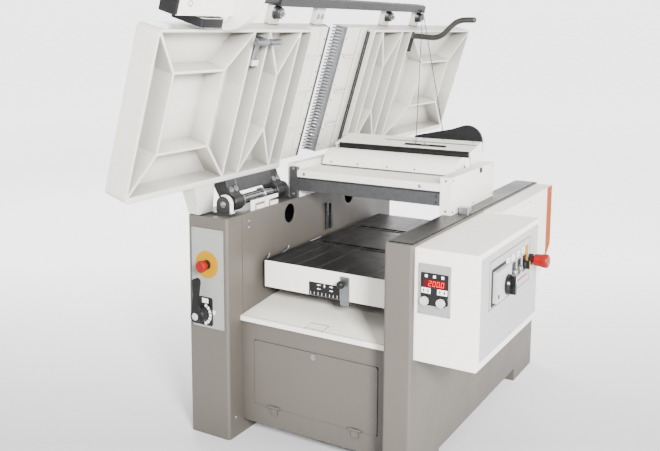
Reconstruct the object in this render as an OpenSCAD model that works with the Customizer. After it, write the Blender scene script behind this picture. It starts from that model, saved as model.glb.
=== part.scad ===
// Combination planer thicknesser: two surfacing tables raised on one hinge, thicknessing bed below.
// X runs across the machine towards the operator, Y along the thicknessing feed, Z up.
// The origin is on the floor at the middle of the base. Millimetres.

/* [Base] */
// Width of the base over both columns
base_w = 818; // [780:1:860]
// Length of the base
base_l = 1218; // [1180:1:1300]
// Height of the columns
base_h = 760; // [740:1:780]
// Width of the left column
left_w = 163; // [155:1:170]
// Width of the right column
right_w = 91; // [88:1:96]
// Thickness of the folded sheet
sheet = 5; // [3:0.5:6]
// Radius of the columns' upright edges
edge_r = 10; // [6:1:16]
// Length of each foot
foot_l = 230; // [180:5:280]
// Height of the gap under the base
foot_h = 50; // [40:1:60]
// Distance of the cabinet's front behind the columns
cabinet_back = 77; // [60:1:90]
// Height of the cabinet's front panel
cabinet_h = 414; // [405:1:414]
// Radius of the anchor holes in the feet
anchor_r = 9; // [7:0.5:11]
// Distance of the anchor holes from the base's sides
anchor_in_x = 46; // [40:1:48]
// Distance of the anchor holes from the base's ends
anchor_in_y = 89; // [60:1:120]

/* [Hatch and shelf] */
// Width of the access hatch
hatch_w = 460; // [380:5:490]
// Height of the access hatch
hatch_h = 223; // [180:1:230]
// Height of the hatch's lower edge above the floor
hatch_z = 118; // [100:1:125]
// Gap around the hatch
hatch_gap = 1; // [0.5:0.5:3]
// Rise of the shelf cover from front to back
shelf_rise = 22; // [15:1:24]

/* [Cutter and feed] */
// Diameter of the cutterblock over the knives
cutter_d = 125; // [120:0.5:126]
// Height of the thicknessing cut above the columns
cut_up = 27; // [26:0.5:28]
// Place of the cutter axis along the feed
cutter_y = 40; // [36:1:44]
// Left end of the cutterblock
cutter_x0 = -220; // [-220:1:-214]
// Right end of the cutterblock
cutter_x1 = 296; // [290:1:296]
// Radius of the cutterblock's shaft
shaft_r = 20; // [16:1:22]
// Radius of the feed rollers
roller_r = 30; // [26:1:31]
// Distance of each feed roller from the cutter axis along the feed
roller_off = 104; // [104:1:108]
// Radius of the feed rollers' shafts
roller_shaft_r = 12; // [9:0.5:14]
// Running clearance of shafts in their bores
run = 0.05; // [0.02:0.01:0.1]
// Radius of the pulley on the cutterblock
pulley_r = 26; // [22:1:27]
// Radius of the pulley on the motor
motor_pulley_r = 44; // [36:1:60]
// Place of the motor axis along the feed
motor_y = 330; // [300:5:380]
// Height of the motor axis
motor_z = 240; // [220:5:260]

/* [Surfacing tables] */
// Opening angle of the tables
tilt = 73.5; // [73:0.1:74]
// Hinge axis across the machine
hinge_x = -297.6; // [-299:0.1:-296]
// Height of the hinge axis above the columns
hinge_up = 35.2; // [34.5:0.1:36]
// Left edge of the closed tables
table_x0 = -220; // [-222:1:-216]
// Right edge of the closed tables
table_x1 = 290; // [284:1:292]
// Depth of the tables over their ribs
table_d = 80; // [76:1:80]
// Depth of the recessed panel beside the cutter below the ribs' edge
panel_up = 34; // [33:0.5:36]
// Thickness of the table plate
plate_t = 14; // [10:1:18]
// Thickness of the ribs and rims at their free edge
rib_t = 9; // [6:1:12]
// Thickness of the ribs at their root
rib_root = 20; // [14:1:24]
// Reach of the outfeed table from the cutter axis
out_reach = 1049; // [1000:1:1100]
// Reach of the infeed table from the cutter axis
in_reach = 1285; // [1200:1:1320]
// Number of slots in the infeed lip
lip_slots = 40; // [20:1:44]

/* [Thicknessing bed] */
// Depth of the bed's face below the cut
bed_drop = 200; // [199:0.5:202]
// Left edge of the bed
bed_x0 = -223; // [-226:1:-216]
// Right edge of the bed
bed_x1 = 295; // [286:1:298]
// Front edge of the bed
bed_y0 = -422; // [-430:1:-400]
// Rear edge of the bed
bed_y1 = 452; // [430:1:480]
// Depth of the bed's front panel
fascia_h = 93; // [88:1:98]
// Radius of the bed rollers
bed_roller_r = 20; // [16:1:22]
// Side of the square lift post
post_w = 120; // [100:2:130]

/* [Control box] */
// Width of the control box
box_w = 190; // [160:1:220]
// Length of the control box
box_l = 567; // [540:1:600]
// Height of the control box
box_h = 337; // [310:1:343]
// Distance of the control box's top below the columns' top
box_drop = 6; // [2:1:14]
// Depth of the drive cover out of the column
cover_w = 63; // [50:1:80]

/* [Hidden] */
$fn = 64;
white = [0.92, 0.91, 0.89];
grey = [0.62, 0.60, 0.57];
steel = [0.62, 0.63, 0.65];
iron = [0.20, 0.20, 0.21];
black = [0.08, 0.08, 0.08];
red = [0.80, 0.12, 0.10];
eps = 0.01;
// Gap between pieces that move past each other
slip = 0.3;

// Base
xl0 = -base_w / 2;
xl1 = xl0 + left_w;
xr1 = base_w / 2;
xr0 = xr1 - right_w;
y0 = -base_l / 2;
y1 = base_l / 2;
foot_plate = 10;
cab_y0 = y0 + cabinet_back;
cab_y1 = y1 - cabinet_back;
inner_w = xr0 - xl1;
inner_x = (xl1 + xr0) / 2;
cab_floor = foot_h + 6;
anchor_x = base_w - 2 * anchor_in_x;
anchor_y = base_l - 2 * anchor_in_y;
seam_y = y0 + 82;
// Hatch hinge: its axis in Y and Z, its pin and its knuckles
knuckle_r = 4;
hatch_pin_r = 1.8;
hatch_pin = [cab_y0 - slip - knuckle_r, hatch_z + 2];
knuckle_w = 24;
knuckle_x = [inner_x - hatch_w * 0.33, inner_x + hatch_w * 0.33];

// Cutter, rollers and their drives
cut_z = base_h + cut_up;
cutter_r = cutter_d / 2;
cutter_z = cut_z + cutter_r;
cutter_body_r = cutter_r - 2;
work_z = cut_z + cutter_d;
roller_z = cut_z - 0.5 + roller_r;
roll_in_y = cutter_y - roller_off;
roll_out_y = cutter_y + roller_off;
belt_x = 330;
belt_w = 16;
belt_t = 6;
chain_x = -290;
chain_w = 4;
sprocket_r = 26;
gear_z = base_h - 120;
shield_r = 74;
shield_t = 3;
shield_from = 62;
shield_to = 165;
// Head on top of the columns
head_y0 = -184;
head_y1 = 228;
house_x = 313;
house_w = 40;
house_h = cut_up + 101;
left_house_x0 = -294;
left_house_x1 = -243.5;
beam_top = cut_z + 45;
beam_low = cut_z + 3;
beam_t = 14;
cover_low = cut_z + 52;
cover_top = work_z - table_d + panel_up - 2;
finger_y = -150;
finger_z = cut_z + 60;
finger_pitch = 15;
finger_n = 36;

// Surfacing tables, drawn closed and then raised about the hinge
hinge_z = base_h + hinge_up;
hinge_r = 18;
rim_z = work_z - table_d;
panel_z = rim_z + panel_up;
under_z = work_z - plate_t;
lip_r = cutter_r + 2;
lip_tip = 36;
infeed_fall = 5;
lip_back = 72;
// Overhang of the thick rim along the hinge
hinge_rim = 11;
rim_x = table_x0 - hinge_rim;
corner_r = 20;
rib_d = 247;
rib_c = 315;
rib_v = 405;
rib_b = 505;
rib_a = 590;
v_x0 = -62;
v_x1 = 131;
out_rect = [[-89, 161], [710, 949]];
in_rect = [[-75, 137], [803, 1115]];
rail_x = 358;
rail_w = 30;
rail_z = work_z - 40;
rail_h = 34;
rail_y0 = -380;
rail_y1 = 800;
lug_y = [-365, -70, 480, 785];
guard_x = rail_x + rail_w / 2;
guard_z = rail_z + rail_h / 2;
arm_y = -735;
arm_t = 30;
beam_x = rail_x - 20;
beam_z = work_z - 112;
beam_w = 60;
beam_l = 288;
pad_x = table_x1 + 13;
pad_y = arm_y - 129;
leg_tip_z = hinge_z - 30;
lever_y = 655;
lever_z = rim_z + 8;
lock_y = -508;
lock_z = rim_z + 18;
lock_bar_z = rim_z - 29;

// Thicknessing bed
bed_z = cut_z - bed_drop;
bed_t = 22;
bed_mid_x = (bed_x0 + bed_x1) / 2;
bed_mid_y = (bed_y0 + bed_y1) / 2;
bed_front_roller = -110;
bed_rear_roller = 190;
bed_roller_z = bed_z + 0.3 - bed_roller_r;
tube_w = post_w + 30;
tube_top = cabinet_h + 6;
post_low = 140;
screw_r = 14;

// Controls
box_x = xr1;
box_y0 = -593;
box_z = base_h - box_drop - box_h;
panel_x = box_x + box_w;
panel_t = 2.5;
face_x = panel_x + panel_t;
dial = [-351, base_h - 333];
col_stop = [-329, base_h - 161];
box_stop = [-127, base_h - 121];
main_y = -385;
button_y = [-300, -250];
mode_y = -198;
switch_y = [main_y, button_y[0], button_y[1], mode_y, box_stop[0]];
function switch_z(y) = y == main_y ? base_h - 136 : base_h - 121;
key_x = [444, 494];
key_z = base_h - 156;
shelf_z = cabinet_h + 4;

// A box with rounded upright edges
module rbox(w, l, h, r) {
    translate([r, 0, 0]) cube([w - 2 * r, l, h]);
    translate([0, r, 0]) cube([w, l - 2 * r, h]);
    for (x = [r, w - r], y = [r, l - r])
        translate([x, y, 0]) cylinder(r = r, h = h);
}

// A box whose upright edges are round at its far end only
module tail_box(w, l, h, r) {
    cube([w, l - r, h]);
    translate([r, 0, 0]) cube([w - 2 * r, l, h]);
    for (x = [r, w - r])
        translate([x, l - r, 0]) cylinder(r = r, h = h);
}

// A bar along X with a round section
module xrod(x, y, z, r, l) {
    translate([x, y, z]) rotate([0, 90, 0]) cylinder(r = r, h = l);
}

// A bar along Y with a round section
module yrod(x, y, z, r, l) {
    translate([x, y, z]) rotate([-90, 0, 0]) cylinder(r = r, h = l);
}

// A profile in Y and Z, drawn out along X
module along_x(x, l) {
    translate([x, 0, 0]) rotate([90, 0, 90]) linear_extrude(l) children();
}

// A profile in X and Z, drawn out along Y
module along_y(y, l) {
    translate([0, y + l, 0]) rotate([90, 0, 0]) linear_extrude(l) children();
}

// A straight round rod between two points
module rod_between(a, b, r) {
    d = b - a;
    run_xy = norm([d[0], d[1]]);
    translate(a) rotate([0, atan2(run_xy, d[2]), atan2(d[1], d[0])])
        cylinder(r = r, h = norm(d), $fn = 16);
}

// Area swept by a band between two round wheels of unequal size
module band_area(a, ra, b, rb) {
    d = b - a;
    turn = atan2(d[1], d[0]);
    lean = acos((ra - rb) / norm(d));
    at = function(c, r, g) c + r * [cos(g), sin(g)];
    translate(a) circle(r = ra);
    translate(b) circle(r = rb);
    polygon([at(a, ra, turn + lean), at(b, rb, turn + lean), at(b, rb, turn - lean), at(a, ra, turn - lean)]);
}

// Raises what is drawn closed to the tables' open position
module raised() {
    translate([hinge_x, 0, hinge_z]) rotate([0, -tilt, 0]) translate([-hinge_x, 0, -hinge_z]) children();
}

// Where a point of the closed tables lies when they are open
function lifted(p) = let (dx = p[0] - hinge_x, dz = p[2] - hinge_z)
    [hinge_x + dx * cos(tilt) - dz * sin(tilt), p[1], hinge_z + dx * sin(tilt) + dz * cos(tilt)];

// One hollow column on two feet
module column(x, w) {
    difference() {
        translate([x, y0, 0]) rbox(w, base_l, base_h, edge_r);
        translate([x + sheet, y0 + sheet, foot_h + sheet])
            cube([w - 2 * sheet, base_l - 2 * sheet, base_h - foot_h - 2 * sheet]);
        translate([x - 1, y0 + foot_l, -1]) cube([w + 2, base_l - 2 * foot_l, foot_h + 1]);
        for (y = [y0, y1 - foot_l])
            translate([x + sheet, y + sheet, foot_plate])
                cube([w - 2 * sheet, foot_l - 2 * sheet, foot_h + sheet - foot_plate + eps]);
        for (sy = [-1, 1])
            translate([sign(x) * anchor_x / 2, sy * anchor_y / 2, -1])
                cylinder(r = anchor_r, h = foot_plate + 2);
    }
}

module left_column() color(grey) difference() {
    column(xl0, left_w);
    for (c = [[-229.5, base_h - 48], [218, base_h - 52]])
        xrod(xl1 - sheet - 1, c[0], c[1], 35, sheet + 2);
    translate([chain_x - 4, roll_in_y - 40, base_h - sheet - 1])
        cube([chain_w + 8, 2 * roller_off + 80, sheet + 2]);
    // Seam between the front post and the inner wall
    translate([xl1 - 2, seam_y, foot_h + sheet]) cube([3, 3, base_h]);
    yrod(dial[0], y0 - 1, dial[1], 8 + run, sheet + 2);
    yrod(col_stop[0], y0 - 1, col_stop[1], 11 + run, sheet + 2);
}

module right_column() color(grey) difference() {
    column(xr0, right_w);
    translate([belt_x - 4, cutter_y - 50, base_h - sheet - 1]) cube([belt_w + 8, 190, sheet + 2]);
    xrod(xr0 - 1, motor_y, motor_z, 30, sheet + 2);
}

module lower_cabinet() color(grey) {
    panel = sheet - 1;
    translate([xl1, cab_y0, foot_h]) cube([inner_w, cab_y1 - cab_y0, cab_floor - foot_h]);
    difference() {
        translate([xl1, cab_y0, cab_floor]) cube([inner_w, panel, cabinet_h - cab_floor]);
        translate([inner_x - hatch_w / 2 - hatch_gap, cab_y0 - 1, hatch_z - slip])
            cube([hatch_w + 2 * hatch_gap, panel + 2, hatch_h + slip + hatch_gap]);
    }
    translate([xl1, cab_y1 - panel, cab_floor]) cube([inner_w, panel, cabinet_h - cab_floor]);
    // Fixed leaves of the hatch hinge, with their knuckles and pins
    for (x = knuckle_x) {
        translate([x - knuckle_w / 2, hatch_pin[0], hatch_pin[1] - 26])
            cube([knuckle_w, cab_y0 - hatch_pin[0] + 1, 23]);
        xrod(x - knuckle_w / 2, hatch_pin[0], hatch_pin[1], knuckle_r, knuckle_w);
        xrod(x - knuckle_w, hatch_pin[0], hatch_pin[1], hatch_pin_r, 2 * knuckle_w);
    }
}

module access_hatch() color(grey) difference() {
    union() {
        translate([inner_x - hatch_w / 2, cab_y0 - 2, hatch_z]) rotate([90, 0, 0])
            mirror([0, 0, 1]) rbox(hatch_w, hatch_h, sheet, 8);
        for (x = knuckle_x)
            xrod(x - knuckle_w, hatch_pin[0], hatch_pin[1], knuckle_r, 2 * knuckle_w);
    }
    yrod(inner_x, cab_y0 - 3, hatch_z + hatch_h - 14, 7 + run, sheet + 2);
    for (x = knuckle_x) {
        translate([x - knuckle_w / 2 - slip, hatch_pin[0] - knuckle_r - 1, hatch_z - knuckle_r])
            cube([knuckle_w + 2 * slip, knuckle_r + sheet + 10, 2 * knuckle_r + 2 + slip]);
        xrod(x - knuckle_w - 1, hatch_pin[0], hatch_pin[1], hatch_pin_r + run, 2 * knuckle_w + 2);
    }
}

module hatch_lock() color(black) {
    z = hatch_z + hatch_h - 14;
    yrod(inner_x, cab_y0 - 4, z, 10, 2);
    yrod(inner_x, cab_y0 - 2 - eps, z, 7, sheet + 2);
    translate([inner_x - 8, cab_y0 + sheet - 1 + slip, z - 5]) cube([30, 2.5, 10]);
}

module shelf_cover() color(white) {
    front = cab_y0 - 9;
    bend = front + 200;
    back = cab_y1;
    t = 4;
    difference() {
        along_x(xl1, inner_w) polygon([[front, shelf_z - 16], [front, shelf_z], [bend, shelf_z + shelf_rise],
            [back, shelf_z + shelf_rise], [back, shelf_z + shelf_rise - t], [bend, shelf_z + shelf_rise - t],
            [front + t, shelf_z - t], [front + t, shelf_z - 16]]);
        translate([bed_mid_x - tube_w / 2 - 2, bed_mid_y - tube_w / 2 - 2, shelf_z])
            cube([tube_w + 4, tube_w + 4, shelf_rise + 10]);
    }
    // Shallow pressed handle at the front edge
    along_x(inner_x - 32, 64) polygon([[front + 14, shelf_z + 1.2], [front + 40, shelf_z + 3.7],
        [front + 40, shelf_z + 5.5], [front + 14, shelf_z + 3]]);
}

module control_plates() color([0.80, 0.80, 0.82]) {
    difference() {
        translate([-392, y0, base_h - 378]) rotate([90, 0, 0]) rbox(130, 338, panel_t, 3);
        yrod(dial[0], y0 - 4, dial[1], 8 + run, 6);
        yrod(col_stop[0], y0 - 4, col_stop[1], 11 + run, 6);
    }
    difference() {
        translate([panel_x, box_y0 + 23, box_z + 23]) cube([panel_t, box_l - 39, box_h - 41]);
        for (y = switch_y)
            xrod(panel_x - 1, y, switch_z(y), 11 + run, panel_t + 2);
    }
}

module stop_collars() color(black) {
    difference() {
        yrod(col_stop[0], y0 - 12.5, col_stop[1], 16, 10);
        yrod(col_stop[0], y0 - 13, col_stop[1], 11 + run, 12);
    }
    difference() {
        xrod(face_x, box_stop[0], box_stop[1], 18, 12);
        xrod(face_x - 1, box_stop[0], box_stop[1], 11 + run, 14);
    }
}

// Push head of an emergency stop, drawn along Z with its stem below
module stop_head(r, h, stem) {
    rotate_extrude() polygon([[0, -stem], [11, -stem], [11, 0], [r - 3, 0], [r - 2, h * 0.45],
        [r, h * 0.62], [r, h - 5], [r - 1.5, h - 2], [r - 5, h], [0, h]]);
}

module column_stop_button() color(red)
    translate([col_stop[0], y0 - 19, col_stop[1]]) rotate([90, 0, 0]) stop_head(20, 24, 22);

module box_stop_button() color(red)
    translate([face_x + 18.5, box_stop[0], box_stop[1]]) rotate([0, 90, 0]) stop_head(22, 44, 18);

module feed_lever() color(black) {
    hub_y = y0 - 44;
    translate([dial[0], y0 - 6, dial[1]]) rotate([90, 0, 0]) rotate_extrude()
        polygon([[0, 0], [26, 0], [24, 20], [19, 24], [19, 38], [0, 38]]);
    yrod(dial[0], y0 - 6, dial[1], 8, 14);
    hull() {
        yrod(dial[0], hub_y, dial[1], 17, 14, $fn = 32);
        yrod(dial[0] + 2, hub_y + 1, dial[1] + 72, 9, 12, $fn = 32);
    }
    hull() {
        yrod(dial[0] + 2, hub_y + 1, dial[1] + 72, 9, 12, $fn = 32);
        yrod(dial[0] + 4, hub_y, dial[1] + 118, 13, 14, $fn = 32);
    }
}

module control_box() color(white) difference() {
    translate([box_x, box_y0, box_z]) cube([box_w, box_l, box_h]);
    translate([box_x - 1, box_y0 + 3, box_z + 3]) cube([box_w - 2, box_l - 6, box_h - 6]);
    for (x = key_x)
        yrod(x, box_y0 - 1, key_z, 8 + run, 5);
    for (y = switch_y)
        xrod(panel_x - 4, y, switch_z(y), 11 + run, 6);
}

module switch_base() color([0.75, 0.76, 0.76]) {
    difference() {
        translate([face_x, main_y - 91, base_h - 172]) cube([14, 118, 92]);
        xrod(face_x - 1, main_y, switch_z(main_y), 11 + run, 16);
    }
    for (y = [button_y[0], button_y[1], mode_y])
        difference() {
            translate([face_x, y - 17, switch_z(y) - 22]) cube([4, 34, 52]);
            xrod(face_x - 1, y, switch_z(y), 11 + run, 6);
        }
}

module main_switch() color(black) {
    xrod(panel_x - 3, main_y, switch_z(main_y), 11, 20);
    translate([face_x + 14.3, main_y, switch_z(main_y)]) rotate([0, 90, 0]) rotate_extrude()
        polygon([[0, 0], [31, 0], [31, 8], [28, 14], [0, 14]]);
    translate([face_x + 28, main_y - 6, switch_z(main_y) - 28]) cube([12, 12, 56]);
}

// A round push button on the side panel
module side_button(y) translate([panel_x - 3, y, switch_z(y)]) rotate([0, 90, 0]) rotate_extrude()
    polygon([[0, 0], [11, 0], [11, 17], [9, 20], [0, 20]]);

module start_button() color(white) side_button(button_y[0]);

module feed_button() color(white) side_button(button_y[1]);

module mode_selector() color(black) {
    xrod(panel_x - 3, mode_y, switch_z(mode_y), 11, 9.8);
    translate([face_x + 4.3, mode_y, switch_z(mode_y)]) rotate([0, 90, 0]) rotate_extrude()
        polygon([[0, 0], [14, 0], [14, 6], [12, 9], [0, 9]]);
    translate([face_x + 13, mode_y - 4, switch_z(mode_y) - 13]) cube([10, 8, 26]);
}

module display_panel() color(black) difference() {
    union() {
        translate([422, box_y0 - 3, base_h - 198]) cube([98, 3, 149]);
        translate([431, box_y0 - 4.5, base_h - 169]) cube([82, 2, 94]);
    }
    for (x = key_x)
        yrod(x, box_y0 - 6, key_z, 8 + run, 8);
}

// A push button under the display
module key(x) {
    yrod(x, box_y0 - 14, key_z, 13, 7);
    yrod(x, box_y0 - 8, key_z, 8, 12);
}

module raise_button() color([0.75, 0.76, 0.75]) key(key_x[0]);

module lower_button() color([0.75, 0.76, 0.75]) key(key_x[1]);

module drive_cover() color(white) difference() {
    front = box_y0 + box_l;
    back = y1 - 19;
    low = base_h - 328;
    top = base_h - 3;
    along_x(xr1, cover_w)
        polygon([[front, low], [back - 114, low], [back, low + 84], [back, top], [front, top]]);
    along_x(xr1 - 1, cover_w - 2)
        polygon([[front + 3, low + 3], [back - 115, low + 3], [back - 3, low + 85.5],
            [back - 3, top - 3], [front + 3, top - 3]]);
}

module wear_strip() color(iron) {
    difference() {
        translate([xr0 + 8, y0 + 14, base_h]) cube([right_w - 16, base_l - 28, 2.5]);
        translate([house_x - 1, head_y0 - 1, base_h - 1]) cube([house_w + 2, head_y1 - head_y0 + 2, 5]);
    }
    translate([house_x + house_w + 8, -135, base_h + 2.5]) rbox(34, 30, 20, 4);
}

module left_housing() color(white) difference() {
    x0 = left_house_x0;
    x1 = left_house_x1;
    top = cut_z + 97;
    slope = x0 + 32;
    y = head_y0 + 18;
    l = head_y1 - head_y0 - 54;
    along_y(y, l) polygon([[x0, base_h], [x0, top], [slope, top], [x1, top - 18], [x1, base_h]]);
    along_y(y + 3, l - 6) polygon([[x0 + 3, base_h - 1], [x0 + 3, top - 3], [slope - 1.2, top - 3],
        [x1 - 3, top - 19.4], [x1 - 3, base_h - 1]]);
    // The shaft leaves through the inner wall and the slope above it
    xrod(slope - 2, cutter_y, cutter_z, shaft_r + 1, x1 - slope + 3);
    for (y = [roll_in_y, roll_out_y])
        xrod(x1 - 4, y, roller_z, roller_shaft_r + run, 5);
    // The overhang stands clear of the column's inner face
    translate([xl1, y - 1, base_h - 1]) cube([10, l + 2, 13]);
}

module right_housing() color(white) difference() {
    translate([house_x, head_y0, base_h]) cube([house_w, head_y1 - head_y0, house_h]);
    translate([house_x + 3, head_y0 + 3, base_h - 1]) cube([house_w - 6, head_y1 - head_y0 - 6, house_h - 2]);
    xrod(house_x - 1, cutter_y, cutter_z, shaft_r + 1, 5);
    for (y = [roll_in_y, roll_out_y])
        xrod(house_x - 1, y, roller_z, roller_shaft_r + run, 5);
}

// A pedestal bearing on a column's top
module bearing(x, w) difference() {
    union() {
        xrod(x, cutter_y, cutter_z, 31, w);
        translate([x, cutter_y - 31, base_h]) cube([w, 62, cutter_z - base_h]);
    }
    xrod(x - 1, cutter_y, cutter_z, shaft_r + run, w + 2);
}

module bearing_blocks() color(iron) {
    bearing(left_house_x0 + 8, 20);
    bearing(xr0, 9);
}

module front_beam() color(steel) {
    x0 = left_house_x0 + 19;
    translate([x0, head_y0, beam_low]) cube([house_x - x0, beam_t, beam_top - beam_low]);
    // End plate that stands on the left column and covers the housing's front
    translate([x0, head_y0, base_h]) cube([left_house_x1 - x0, beam_t, cut_z + 88 - base_h]);
}

module front_cover() color(white) {
    back = cutter_y - shield_r - 2;
    x0 = left_house_x1 + slip;
    along_x(x0, house_x - x0) polygon([[head_y0, cover_low], [head_y0, cover_top - 4],
        [head_y0 + 4, cover_top], [back, cover_top], [back, cover_top - 3], [head_y0 + 5, cover_top - 3],
        [head_y0 + 3, cover_top - 5], [head_y0 + 3, cover_low]]);
}

module kickback_fingers() color(iron) {
    x0 = left_house_x1 + slip;
    xrod(x0, finger_y, finger_z, 6, house_x - slip - x0);
    for (i = [0 : finger_n - 1])
        along_x(x0 + 8 + i * finger_pitch, 8) {
            translate([finger_y, finger_z]) circle(r = 10);
            polygon([[finger_y - 10, finger_z], [finger_y + 10, finger_z], [finger_y + 26, cut_z + 6],
                [finger_y + 20, cut_z - 2], [finger_y - 6, cut_z + 20]]);
        }
}

module cutterblock() color(steel) {
    difference() {
        xrod(cutter_x0, cutter_y, cutter_z, cutter_body_r, cutter_x1 - cutter_x0);
        for (a = [0 : 90 : 270])
            translate([0, cutter_y, cutter_z]) rotate([a, 0, 0])
                translate([cutter_x0 - 1, -6, cutter_body_r - 16]) cube([cutter_x1 - cutter_x0 + 2, 14, 20]);
    }
    xrod(left_house_x0 + 9, cutter_y, cutter_z, shaft_r, cutter_x0 - left_house_x0 - 9 + eps);
    xrod(cutter_x1 - eps, cutter_y, cutter_z, shaft_r, 350 - cutter_x1);
    // Knives on their wedges
    for (a = [0 : 90 : 270])
        translate([0, cutter_y, cutter_z]) rotate([a, 0, 0]) {
            translate([cutter_x0, -6, cutter_body_r - 16.1]) cube([cutter_x1 - cutter_x0, 3, 18]);
            translate([cutter_x0, -3, cutter_body_r - 16.1]) cube([cutter_x1 - cutter_x0, 9, 12]);
        }
    difference() {
        xrod(belt_x, cutter_y, cutter_z, pulley_r, belt_w);
        xrod(belt_x - 1, cutter_y, cutter_z, shaft_r - eps, belt_w + 2);
    }
}

module motor_pulley() color(iron) {
    xrod(300, motor_y, motor_z, 19, belt_x - 300 + eps);
    xrod(belt_x, motor_y, motor_z, motor_pulley_r, belt_w);
}

module main_motor() color([0.25, 0.30, 0.34]) {
    difference() {
        union() {
            xrod(70, motor_y, motor_z, 92, 210);
            xrod(278, motor_y, motor_z, 98, 20);
            xrod(52, motor_y, motor_z, 98, 20);
            translate([100, motor_y - 80, cab_floor]) cube([150, 160, motor_z - cab_floor - 60]);
            translate([120, motor_y - 45, motor_z + 80]) cube([90, 90, 45]);
        }
        xrod(295, motor_y, motor_z, 19 + run, 10);
    }
}

module drive_belts() color(black) {
    a = [cutter_y, cutter_z];
    b = [motor_y, motor_z];
    for (x = [belt_x + 1, belt_x + 1 + belt_w / 2])
        along_x(x, belt_w / 2 - 2) difference() {
            band_area(a, pulley_r + slip + belt_t, b, motor_pulley_r + slip + belt_t);
            band_area(a, pulley_r + slip, b, motor_pulley_r + slip);
        }
}

// A driven feed roller with its shaft and chain sprocket
module feed_roller(y) {
    xrod(chain_x - 1, y, roller_z, roller_shaft_r, 326 - chain_x);
    difference() {
        xrod(cutter_x0, y, roller_z, roller_r, cutter_x1 - cutter_x0);
        xrod(cutter_x0 - 1, y, roller_z, roller_shaft_r - eps, cutter_x1 - cutter_x0 + 2);
        children();
    }
    difference() {
        xrod(chain_x, y, roller_z, sprocket_r, chain_w);
        xrod(chain_x - 1, y, roller_z, roller_shaft_r - eps, chain_w + 2);
    }
}

module infeed_roller() color(iron) feed_roller(roll_in_y)
    for (a = [0 : 15 : 345])
        translate([cutter_x0 - 1, roll_in_y, roller_z]) rotate([a, 0, 0])
            translate([0, -1.5, roller_r - 2.5]) cube([cutter_x1 - cutter_x0 + 2, 3, 5]);

module outfeed_roller() color(steel) feed_roller(roll_out_y);

module feed_gearbox() color([0.30, 0.33, 0.36]) {
    translate([xl0 + sheet, cutter_y - 80, gear_z - 150]) cube([100, 160, 210]);
    xrod(xl0 + sheet + 100, cutter_y, gear_z, 12, chain_x + chain_w - xl0 - sheet - 100);
    difference() {
        xrod(chain_x, cutter_y, gear_z, sprocket_r, chain_w);
        xrod(chain_x - 1, cutter_y, gear_z, 12 - eps, chain_w + 2);
    }
}

// Area inside a chain that runs round three equal wheels
module chain_area(p, r) {
    for (c = p)
        translate(c) circle(r = r);
    polygon([for (i = [0 : 2]) each let (d = p[(i + 1) % 3] - p[i], n = [d[1], -d[0]] / norm(d))
        [p[i] + r * n, p[(i + 1) % 3] + r * n]]);
}

module feed_chain() color(iron) {
    wheels = [[cutter_y, gear_z], [roll_out_y, roller_z], [roll_in_y, roller_z]];
    along_x(chain_x, chain_w) difference() {
        chain_area(wheels, sprocket_r + slip + 5);
        chain_area(wheels, sprocket_r + slip);
    }
}

// A wedge of a disc between two angles counted from +Y towards +Z
module wedge(r, from, to) intersection() {
    circle(r = r, $fn = 128);
    step = (to - from) / 4;
    polygon(concat([[0, 0]], [for (i = [0 : 4]) 2 * r * [cos(from + i * step), sin(from + i * step)]]));
}

module chip_shield() color(white) {
    x0 = cutter_x0 - 6;
    x1 = cutter_x1 + 6;
    cheek = 4;
    translate([0, cutter_y, cutter_z]) difference() {
        union() {
            along_x(x0, x1 - x0) wedge(shield_r, shield_from, shield_to);
            for (x = [x0, x1 - cheek])
                xrod(x, 0, 0, shaft_r + 10, cheek);
        }
        xrod(x0 + cheek, 0, 0, shield_r - shield_t, x1 - x0 - 2 * cheek);
        xrod(x0 - 1, 0, 0, shaft_r + run, x1 - x0 + 2);
    }
}

// The hood's top and back, as a line of points in Y and Z
hood_top = [[roll_out_y - 54, cut_z + 147], [roll_out_y + 68, cut_z + 174],
    [roll_out_y + 78, cut_z + 168], [roll_out_y + 78, cut_z + 118]];
mouth = [[206, 290], [cut_z + 121, cut_z + 163]];
duct = [248, cut_z + 163];
duct_r = 50;

module hood_shell() color(white) {
    x0 = -240;
    x1 = 310;
    t = 3;
    difference() {
        along_x(x0, x1 - x0) polygon(concat(hood_top, [hood_top[3] - [t, 0],
            hood_top[2] - [t, 1], hood_top[1] - [0, t], hood_top[0] - [0, t]]));
        // Slot for the lifting cables and mouth of the outlet
        translate([40, roll_out_y - 15, cut_z + 113]) cube([157, 12, 80]);
        translate([mouth[0][0], hood_top[3][0] - 12, mouth[1][0]])
            cube([mouth[0][1] - mouth[0][0], 20, mouth[1][1] - mouth[1][0]]);
    }
    for (x = [x0, x1 - 6])
        along_x(x, 6) difference() {
            union() {
                polygon([hood_top[0] - [0, t / 2], hood_top[1] - [0, t / 2], hood_top[2] - [t / 2, 0],
                    hood_top[3] - [t / 2, 0], [roll_out_y + 24, roller_z], [roll_out_y - 24, roller_z],
                    [roll_out_y - 40, cut_z + 125]]);
                translate([roll_out_y, roller_z]) circle(r = roller_shaft_r + 14);
            }
            translate([roll_out_y, roller_z]) circle(r = roller_shaft_r + run);
        }
}

module hood_lip() color(black)
    along_x(-216, 524) translate(hood_top[0])
        polygon([[-7, -17], [-0.3, -17], [-0.3, 0.3], [3, 1.2], [3, 4.2], [-6, 2]]);

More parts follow.
